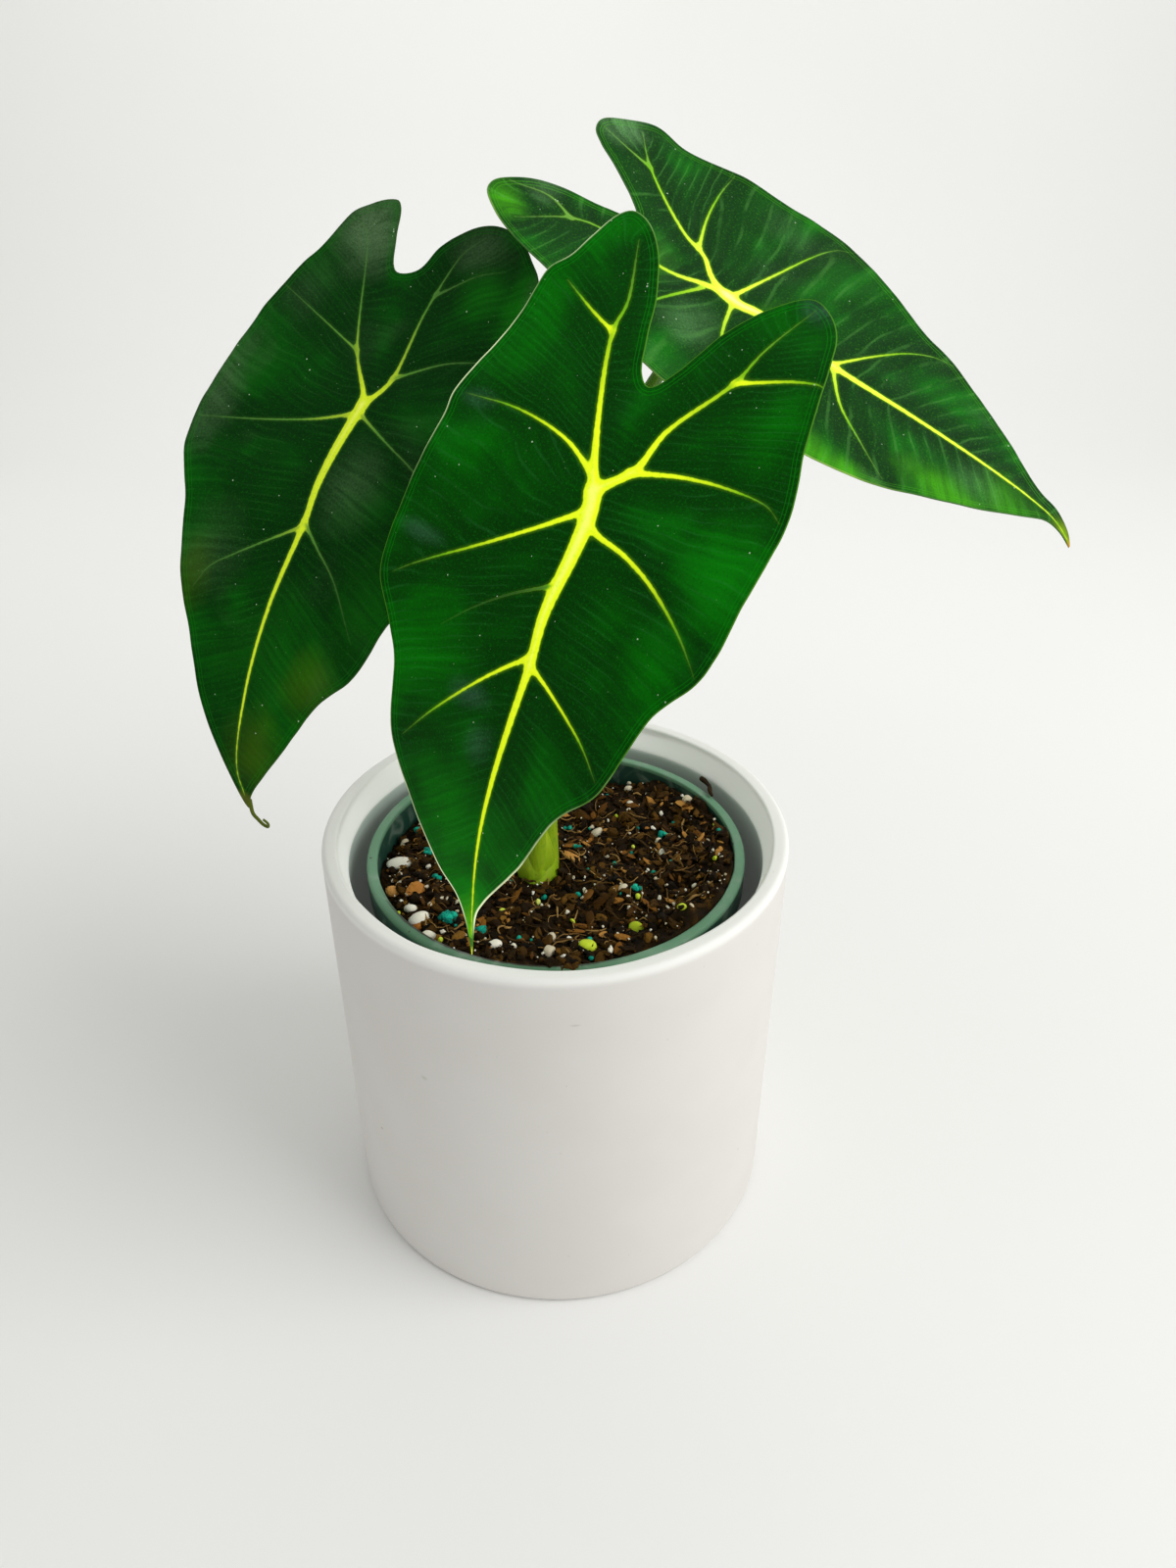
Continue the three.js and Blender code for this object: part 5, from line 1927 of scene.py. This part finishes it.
PLACED = {
    Matter.PERLITE: (
        Lump((-44.2, -0.2), (3.9, 1.9, 1.5), 10), Lump((-44.2, 11.2), (2.1, 1.4, 1.3), 90),
        Lump((-35.5, -25.2), (2.8, 2.1, 1.7), 35), Lump((-38.2, -21.3), (1.8, 1.4, 1.3), 0),
        Lump((-14.9, -38.5), (2.0, 1.6, 1.5), 20), Lump((-0.5, -34.5), (1.2, 1.4, 1.3), 0),
        Lump((-0.8, -41.2), (1.9, 1.5, 1.4), 70), Lump((11.4, 14.5), (2.0, 1.5, 1.4), 30),
        Lump((38.3, 25.2), (1.6, 1.4, 1.3), 15), Lump((21.2, 38.7), (1.3, 1.1, 1.0), 40),
        Lump((21.3, 30.7), (1.3, 1.1, 1.0), 0), Lump((29.0, 9.0), (1.1, 1.0, 0.9), 50),
        Lump((30.0, 2.4), (1.3, 1.1, 1.0), 0), Lump((18.0, -15.6), (1.4, 1.2, 1.1), 25),
        Lump((-32.2, -31.8), (2.0, 1.5, 1.3), 15),
    ),
    Matter.TAN: (
        Lump((-44.0, -12.6), (2.1, 1.6, 1.4), 0), Lump((-36.0, -27.4), (1.6, 1.3, 1.2), 0),
        Lump((-37.5, -14.4), (2.4, 1.9, 1.4), 30),
    ),
    Matter.TEAL: (
        Lump((-27.5, -26.4), (3.1, 2.6, 1.8), 15), Lump((-18.8, -32.9), (1.6, 1.4, 1.4), 60),
        Lump((22.0, -14.4), (1.5, 1.3, 1.2), 0), Lump((6.0, 4.1), (1.3, 1.2, 1.1), 0),
        Lump((3.0, 19.0), (1.4, 1.2, 1.1), 0), Lump((30.5, 12.2), (1.3, 1.1, 1.0), 0),
        Lump((34.4, 18.7), (1.2, 1.0, 1.0), 0), Lump((-41.6, 17.5), (1.3, 1.2, 1.1), 0),
        Lump((-37.0, 5.7), (1.3, 1.9, 1.3), 0), Lump((-33.0, -7.1), (1.2, 1.2, 1.1), 0),
        Lump((26.6, -6.2), (0.9, 0.8, 0.8), 0), Lump((-1.2, 16.5), (1.0, 1.0, 0.9), 0),
        Lump((-2.7, -17.3), (1.0, 0.9, 0.8), 0),
    ),
    Matter.LIME: (
        Lump((21.4, -31.6), (2.2, 1.3, 1.1), 150), Lump((8.6, -40.0), (2.4, 2.0, 1.6), 10),
        Lump((-13.7, -22.7), (0.9, 0.9, 0.8), 0), Lump((32.8, -29.3), (1.3, 1.1, 1.0), 30),
    ),
}


@dataclass
class PottingMix:
    """Bark and fibre mix with perlite and fertiliser prills, lumpy on top."""

    level: float = 108.6
    reach: float = 49.1
    floor_z: float = 8.6
    floor_radius: float = 37.4
    rings: int = 110
    spokes: int = 300
    crumbs: int = 4200
    chips: int = 230
    fibres: int = 330
    specks: int = 330
    seed: int = 41
    crown: Point2 = (-5.0, -4.8)
    crown_reach: float = 6.6
    spilled: int = 46
    crumb_shape: tuple[Point2, ...] = ((0.9, 0.7), (0.6, 0.4), (0.55, 0.3))
    twig: tuple[Point3, ...] = (
        (43.0, 33.6, 115.3), (43.9, 31.4, 115.7), (45.0, 28.6, 115.6), (44.9, 26.4, 115.5),
        (45.3, 24.2, 115.3),
    )

    def _surface(self, x: np.ndarray, y: np.ndarray) -> np.ndarray:
        reach = np.hypot(x, y) / 49
        slope = -0.034 * y + 0.018 * x
        lumps = (
            0.8 * np.sin(x / 4.7 + 0.6) * np.cos(y / 5.3 - 0.4)
            + 0.6 * np.sin((x + y) / 7.1 + 1.9)
            + 0.5 * np.cos((x - 1.6 * y) / 6.2 + 0.3)
        )
        mound = 1.2 * np.exp(-(np.hypot(x + 5, y + 5) ** 2) / 180)
        edge = -1.6 * np.maximum(0, reach - 0.82) / 0.18
        return self.level + slope + lumps + mound + edge

    def _bank(self, x: np.ndarray, y: np.ndarray) -> np.ndarray:
        turn = np.degrees(np.arctan2(y, x))
        where = smoothstep(-150, -110, turn) * smoothstep(70, 40, turn)
        uneven = 1 + 0.35 * rolling(np.column_stack([x, y]), 11.0, 9)
        right = smoothstep(-85, -45, turn) * smoothstep(72, 48, turn)
        return (3.0 * where + 2.4 * right) * uneven * smoothstep(36, 48.5, np.hypot(x, y))

    def ground(self, x: float, y: float) -> float:
        """Height of the mix at one place, its bank against the wall with it, its grain not."""
        at = (np.array([x]), np.array([y]))
        return float(self._surface(*at)[0] + self._bank(*at)[0])

    def _grained(self, places: np.ndarray) -> np.ndarray:
        flat = places[:, :2]
        grain = 0.55 * rolling(flat, 3.4, 21, 12) + 0.28 * rolling(flat, 1.3, 22, 12)
        return self._surface(*flat.T) + self._bank(*flat.T) + grain

    def _bed(self) -> Piece:
        turn = round_turn(self.spokes)
        rows = []
        for i in range(1, self.rings + 1):
            row = ring(self.reach * i / self.rings, 0.0, turn + (i % 2) * math.pi / self.spokes)
            row[:, 2] = self._grained(row)
            rows.append(row)
        rows += [ring(self.reach - 0.2, 103.0, turn), ring(self.floor_radius, self.floor_z, turn)]
        places, faces = capped(rows, float(self._grained(np.zeros((1, 2)))[0]), self.floor_z)
        fields = {Field.TINT: 0.28 + 0.2 * rolling(places[:, :2], 5.0, 31, 10)}
        node = ("potting_mix",)
        return Piece("potting_mix_bed", Slot.POTTING_MIX, node, places, flipped(faces), fields, 180)

    def _scatter(self, draw: np.random.Generator, out: float) -> Point2:
        while True:
            turn = 2 * math.pi * draw.random()
            r = out * math.sqrt(draw.random())
            x, y = r * math.cos(turn), r * math.sin(turn)
            if math.hypot(x - self.crown[0], y - self.crown[1]) > self.crown_reach:
                return x, y

    def _crumbs(self) -> Piece:
        draw = np.random.default_rng(self.seed)
        heap = Heap()
        for _ in range(self.crumbs):
            size = 0.28 + 1.25 * draw.random() ** 3.4
            x, y = self._scatter(draw, 48.6 - size)
            z = self.ground(x, y) + 0.35 * size + 0.25
            shape = tuple(size * (least + more * draw.random()) for least, more in self.crumb_shape)
            level = 1 if size > 0.95 else 0
            points, faces = uneven_lump(draw, (x, y, z), shape, 360 * draw.random(), 0.28, level)
            heap.add(points, faces, float(np.clip(draw.normal(0.35, 0.2), 0, 1)))
        for _ in range(self.spilled):
            x = -1.0 + 7.5 * draw.random()
            y = -47.6 - 3.0 * draw.random()
            size = 0.6 + 0.7 * draw.random()
            z = 112.9 + 1.5 * draw.random()
            shape = (size * 1.3, size * 0.8, size * 0.7)
            points, faces = uneven_lump(draw, (x, y, z), shape, 360 * draw.random(), 0.3, 1)
            heap.add(points, faces, float(draw.random() * 0.6))
        return heap.piece("potting_mix_crumbs", 35)

    def _chips(self) -> Piece:
        draw = np.random.default_rng(self.seed + 1)
        heap = Heap()
        for _ in range(self.chips):
            length = 0.9 + 2.0 * draw.random() ** 2.2
            x, y = self._scatter(draw, 47.5 - length)
            z = self.ground(x, y) + 0.75 + 0.4 * draw.random()
            shape = (length, length * (0.24 + 0.3 * draw.random()), 0.28 + 0.3 * draw.random())
            points, faces = uneven_lump(draw, (x, y, z), shape, 360 * draw.random(), 0.2, 1)
            points[:, 2] += (points[:, 0] - x) * draw.normal(scale=0.2)
            points[:, 2] += (points[:, 1] - y) * draw.normal(scale=0.2)
            heap.add(points, faces, float(draw.random()))
        return heap.piece("bark_chips", 25)

    def _fibre_path(self, draw: np.random.Generator) -> np.ndarray:
        length = 3.0 + 8.0 * draw.random() ** 1.5
        x, y = self._scatter(draw, 47.0 - length / 2)
        heading = 2 * math.pi * draw.random()
        bend = draw.normal(scale=0.22)
        steps = 9
        places = []
        for _ in range(steps):
            places.append((x, y, self.ground(x, y) + 1.1))
            x += math.cos(heading) * length / steps
            y += math.sin(heading) * length / steps
            heading += bend + draw.normal(scale=0.12)
        path = np.array(places)
        path[:, 2] += 0.7 * rolling(path, 4.0, int(draw.integers(1 << 30))) + 0.35 * draw.random()
        return path

    def _fibres(self) -> Piece:
        draw = np.random.default_rng(self.seed + 2)
        heap = Heap()
        for _ in range(self.fibres):
            path = self._fibre_path(draw)
            if np.linalg.norm(path[:, :2], axis=1).max() > 48.3:
                continue
            thick = 0.11 + 0.26 * draw.random() ** 2
            skin, shell = tube(path, lambda share, _, t=thick: t * (1 - 0.5 * abs(2 * share - 1)), 6)
            heap.add(skin, shell, float(draw.random()))
        twig = smooth_line(self.twig, False, 0.6)
        skin, shell = tube(twig, lambda share, _: 0.78 * (1 - 0.3 * share) + 0.08 * math.sin(11 * share), 8)
        heap.add(skin, shell, 0.05)
        return heap.piece("root_fibres", 60)

    def _place(self, heap: Heap, lump: Lump, rough: float, draw: np.random.Generator) -> None:
        z = self.ground(*lump.place) + 0.35 * lump.size[2] + 0.3
        heap.lump(draw, (*lump.place, z), lump.size, lump.turn, rough, 3)

    def _specks(self) -> Piece:
        draw = np.random.default_rng(self.seed + 3)
        heap = Heap()
        for lump in PLACED[Matter.PERLITE]:
            self._place(heap, lump, 0.1, draw)
        for _ in range(self.specks):
            size = 0.16 + 0.5 * draw.random() ** 3
            x, y = self._scatter(draw, 48.0)
            z = self.ground(x, y) + 0.9 + 0.5 * draw.random()
            heap.lump(draw, (x, y, z), (size * 1.2, size, size * 0.9), 360 * draw.random(), 0.25, 1)
        return heap.piece("perlite", 40)

    def _pebbles(self) -> Piece:
        draw = np.random.default_rng(self.seed + 4)
        heap = Heap()
        for lump in PLACED[Matter.TAN]:
            self._place(heap, lump, 0.12, draw)
        return heap.piece("tan_pebbles", 50)

    def _cluster(self, heap: Heap, lump: Lump, draw: np.random.Generator) -> None:
        x, y = lump.place
        ground = self.ground(x, y)
        long, wide, tall = lump.size
        for _ in range(max(3, round(long * wide * 3.2))):
            turn = 2 * math.pi * draw.random()
            out = math.sqrt(draw.random()) * 0.72
            size = (0.42 + 0.25 * draw.random()) * min(1.25, max(0.8, wide))
            centre = (
                x + out * long * math.cos(turn),
                y + out * wide * math.sin(turn),
                ground + 0.35 + tall * 0.75 * (1 - out**2),
            )
            heap.lump(draw, centre, (size * 1.15, size, size * 0.95), 360 * draw.random(), 0.14, 2)

    def _prills(self, kind: Matter, name: str, extra: int) -> Piece:
        draw = np.random.default_rng(self.seed + 5 + len(name))
        heap = Heap()
        for lump in PLACED[kind]:
            if kind is Matter.LIME:
                self._place(heap, lump, 0.09, draw)
            else:
                self._cluster(heap, lump, draw)
        for _ in range(extra):
            x, y = self._scatter(draw, 47.0)
            size = 0.3 + 0.45 * draw.random()
            z = self.ground(x, y) + 0.8 + 0.3 * draw.random()
            heap.lump(draw, (x, y, z), (size, size, size), 0, 0.12, 2)
        return heap.piece(name, 60)

    def build(self) -> None:
        """Make the mix and all that lies in it."""
        brown = stops((10, 6, 0), (38, 24, 4), (92, 62, 14), (156, 112, 44), at=(0.0, 0.35, 0.7, 1.0))
        bark = stops((30, 18, 4), (84, 52, 12), (142, 92, 30), (196, 142, 70), at=(0.0, 0.4, 0.75, 1.0))
        straw = stops((38, 26, 12), (108, 78, 36), (176, 138, 80))
        white = stops((196, 180, 146), (232, 224, 200), (250, 246, 230))
        tan = stops((164, 100, 34), (206, 142, 66), (226, 180, 116))
        teal = stops((0, 104, 90), (0, 156, 132), (30, 196, 164))
        lime = stops((168, 192, 20), (214, 232, 60), (236, 242, 150))
        earth = GrainFinish("damp bark mix", brown, srgb(18, 10, 7), 0.3)
        perlite = GrainFinish("perlite", white, srgb(150, 130, 104), 0.12, 0.9, 0.3, 3.0, 0.3)
        teal_prills = GrainFinish("teal prills", teal, srgb(0, 74, 66), 0.12, 0.6, 0.15)
        lime_prills = GrainFinish("pale green prills", lime, srgb(140, 150, 60), 0.1, 0.6, 0.2)
        self._bed().build(earth)
        self._crumbs().build(earth)
        self._chips().build(GrainFinish("bark chips", bark, srgb(30, 18, 8), 0.3, 0.8, 0.12))
        self._fibres().build(GrainFinish("dry fibres", straw, srgb(40, 24, 14), 0.2))
        self._specks().build(perlite)
        self._pebbles().build(GrainFinish("tan pebbles", tan, srgb(110, 70, 40), 0.15, 0.7, 0.15))
        self._prills(Matter.TEAL, "teal_prills", 26).build(teal_prills)
        self._prills(Matter.LIME, "green_prills", 20).build(lime_prills)


# Studio


@dataclass(frozen=True)
class SoftBox:
    """One large soft light: where it hangs, where it points, its size and its power."""

    name: str
    place: Point3
    target: Point3
    size: float
    power: float
    colour: Colour = (1.0, 1.0, 1.0)


@dataclass(frozen=True)
class FloorFinish(Finish):
    """Pale matt floor, hardly uneven in tone."""

    tones: tuple[Colour, Colour] = (srgb(238, 238, 235), srgb(241, 241, 239))

    def paint(self, graph: Graph) -> dict[str, Value]:
        """Lay the two tones."""
        _, broad = graph.use(EFFECTS.grain, Place=graph.place(), Scale=0.02)
        tone = graph.mix(graph.remap(broad, 0.3, 0.7), *self.tones)
        return {"Base Color": tone, "Roughness": 0.9, "Specular IOR Level": 0.1}


@dataclass
class Studio:
    """Pale seamless floor, soft lights and the camera at the photo's angle."""

    camera_place: Point3 = (8.8, -266.0, 305.3)
    camera_pitch: float = 57.35
    lens: float = 27.0
    sensor: float = 36.0
    world: float = 0.515
    boxes: tuple[SoftBox, ...] = (
        SoftBox("key light", (900, -350, 900), (0, 0, 130), 0.9, 10.0),
        SoftBox("top light", (-100, 250, 1200), (0, 0, 100), 1.2, 1.3),
        SoftBox("wall light", (-150, 480, 880), (-150, 1200, 480), 1.0, 2.4),
    )

    def _floor(self) -> None:
        rows: list[Point2] = [(-1600, 0)]
        rows += [(y, 0) for y in np.linspace(-1400, 700, 22)]
        bend = np.linspace(0.05, math.pi / 2, 24)
        rows += [(700 + 500 * math.sin(a), 500 - 500 * math.cos(a)) for a in bend]
        rows += [(1200, z) for z in (700, 1200, 2000)]
        wide = np.linspace(-2600, 2600, 9)
        points = np.array([(x, y, z) for y, z in rows for x in wide])
        faces = band_faces(len(rows), len(wide), 0, False)
        make_object("floor", points, faces, FloorFinish("pale floor"))

    def _light(self, box: SoftBox) -> None:
        data = bpy.data.lights.new(box.name, "AREA")
        data.shape = "SQUARE"
        data.size = box.size
        data.energy = box.power
        data.color = box.colour
        light = bpy.data.objects.new(box.name, data)
        light.location = Vector(box.place) * MM
        way = (Vector(box.target) - Vector(box.place)).normalized()
        light.rotation_euler = way.to_track_quat("-Z", "Y").to_euler()
        bpy.context.scene.collection.objects.link(light)

    def build(self) -> None:
        """Set up the floor, the lights, the surroundings and the camera."""
        scene = bpy.context.scene
        scene.view_settings.view_transform = "Standard"
        self._floor()
        for box in self.boxes:
            self._light(box)
        world = bpy.data.worlds.new("soft room")
        world.use_nodes = True
        sky = world.node_tree.nodes["Background"]
        sky.inputs["Color"].default_value = (1.0, 1.0, 0.99, 1.0)
        sky.inputs["Strength"].default_value = self.world
        scene.world = world
        data = bpy.data.cameras.new("camera")
        data.lens = self.lens
        data.sensor_width = self.sensor
        data.sensor_fit = "AUTO"
        data.clip_start = 0.01
        camera = bpy.data.objects.new("camera", data)
        camera.location = Vector(self.camera_place) * MM
        camera.rotation_euler = (math.radians(self.camera_pitch), 0, 0)
        scene.collection.objects.link(camera)
        scene.camera = camera


# The whole plant


@dataclass
class PottedAlocasia:
    """The plant in its two pots."""

    studio: Studio = field(default_factory=Studio)
    stem_finish: StemFinish = StemFinish(
        "petiole", srgb(166, 194, 26), srgb(70, 128, 40), srgb(128, 170, 24), srgb(70, 92, 24), 0.45
    )
    crown_finish: StemFinish = StemFinish(
        "crown", srgb(40, 112, 20), srgb(180, 204, 30), srgb(140, 180, 16), srgb(80, 104, 12), 0.35
    )

    def build(self) -> None:
        """Make every piece and the studio round it."""
        self.studio.build()
        Cachepot().build(CeramicFinish())
        NurseryPot().build(PlasticFinish())
        PottingMix().build()
        for plan, finish in ((FRONT, FRONT_FINISH), (LEFT, LEFT_FINISH), (BACK, BACK_FINISH)):
            leaf = Leaf(plan, finish)
            leaf.build()
            Petiole(STEM_PLANS[plan.name], leaf).build(self.stem_finish)
        Crown().build(self.crown_finish)


def main() -> None:
    """Build the scene."""
    logging.basicConfig(level=logging.INFO, format="%(name)s: %(message)s")
    PottedAlocasia().build()


if __name__ == "__main__":
    main()
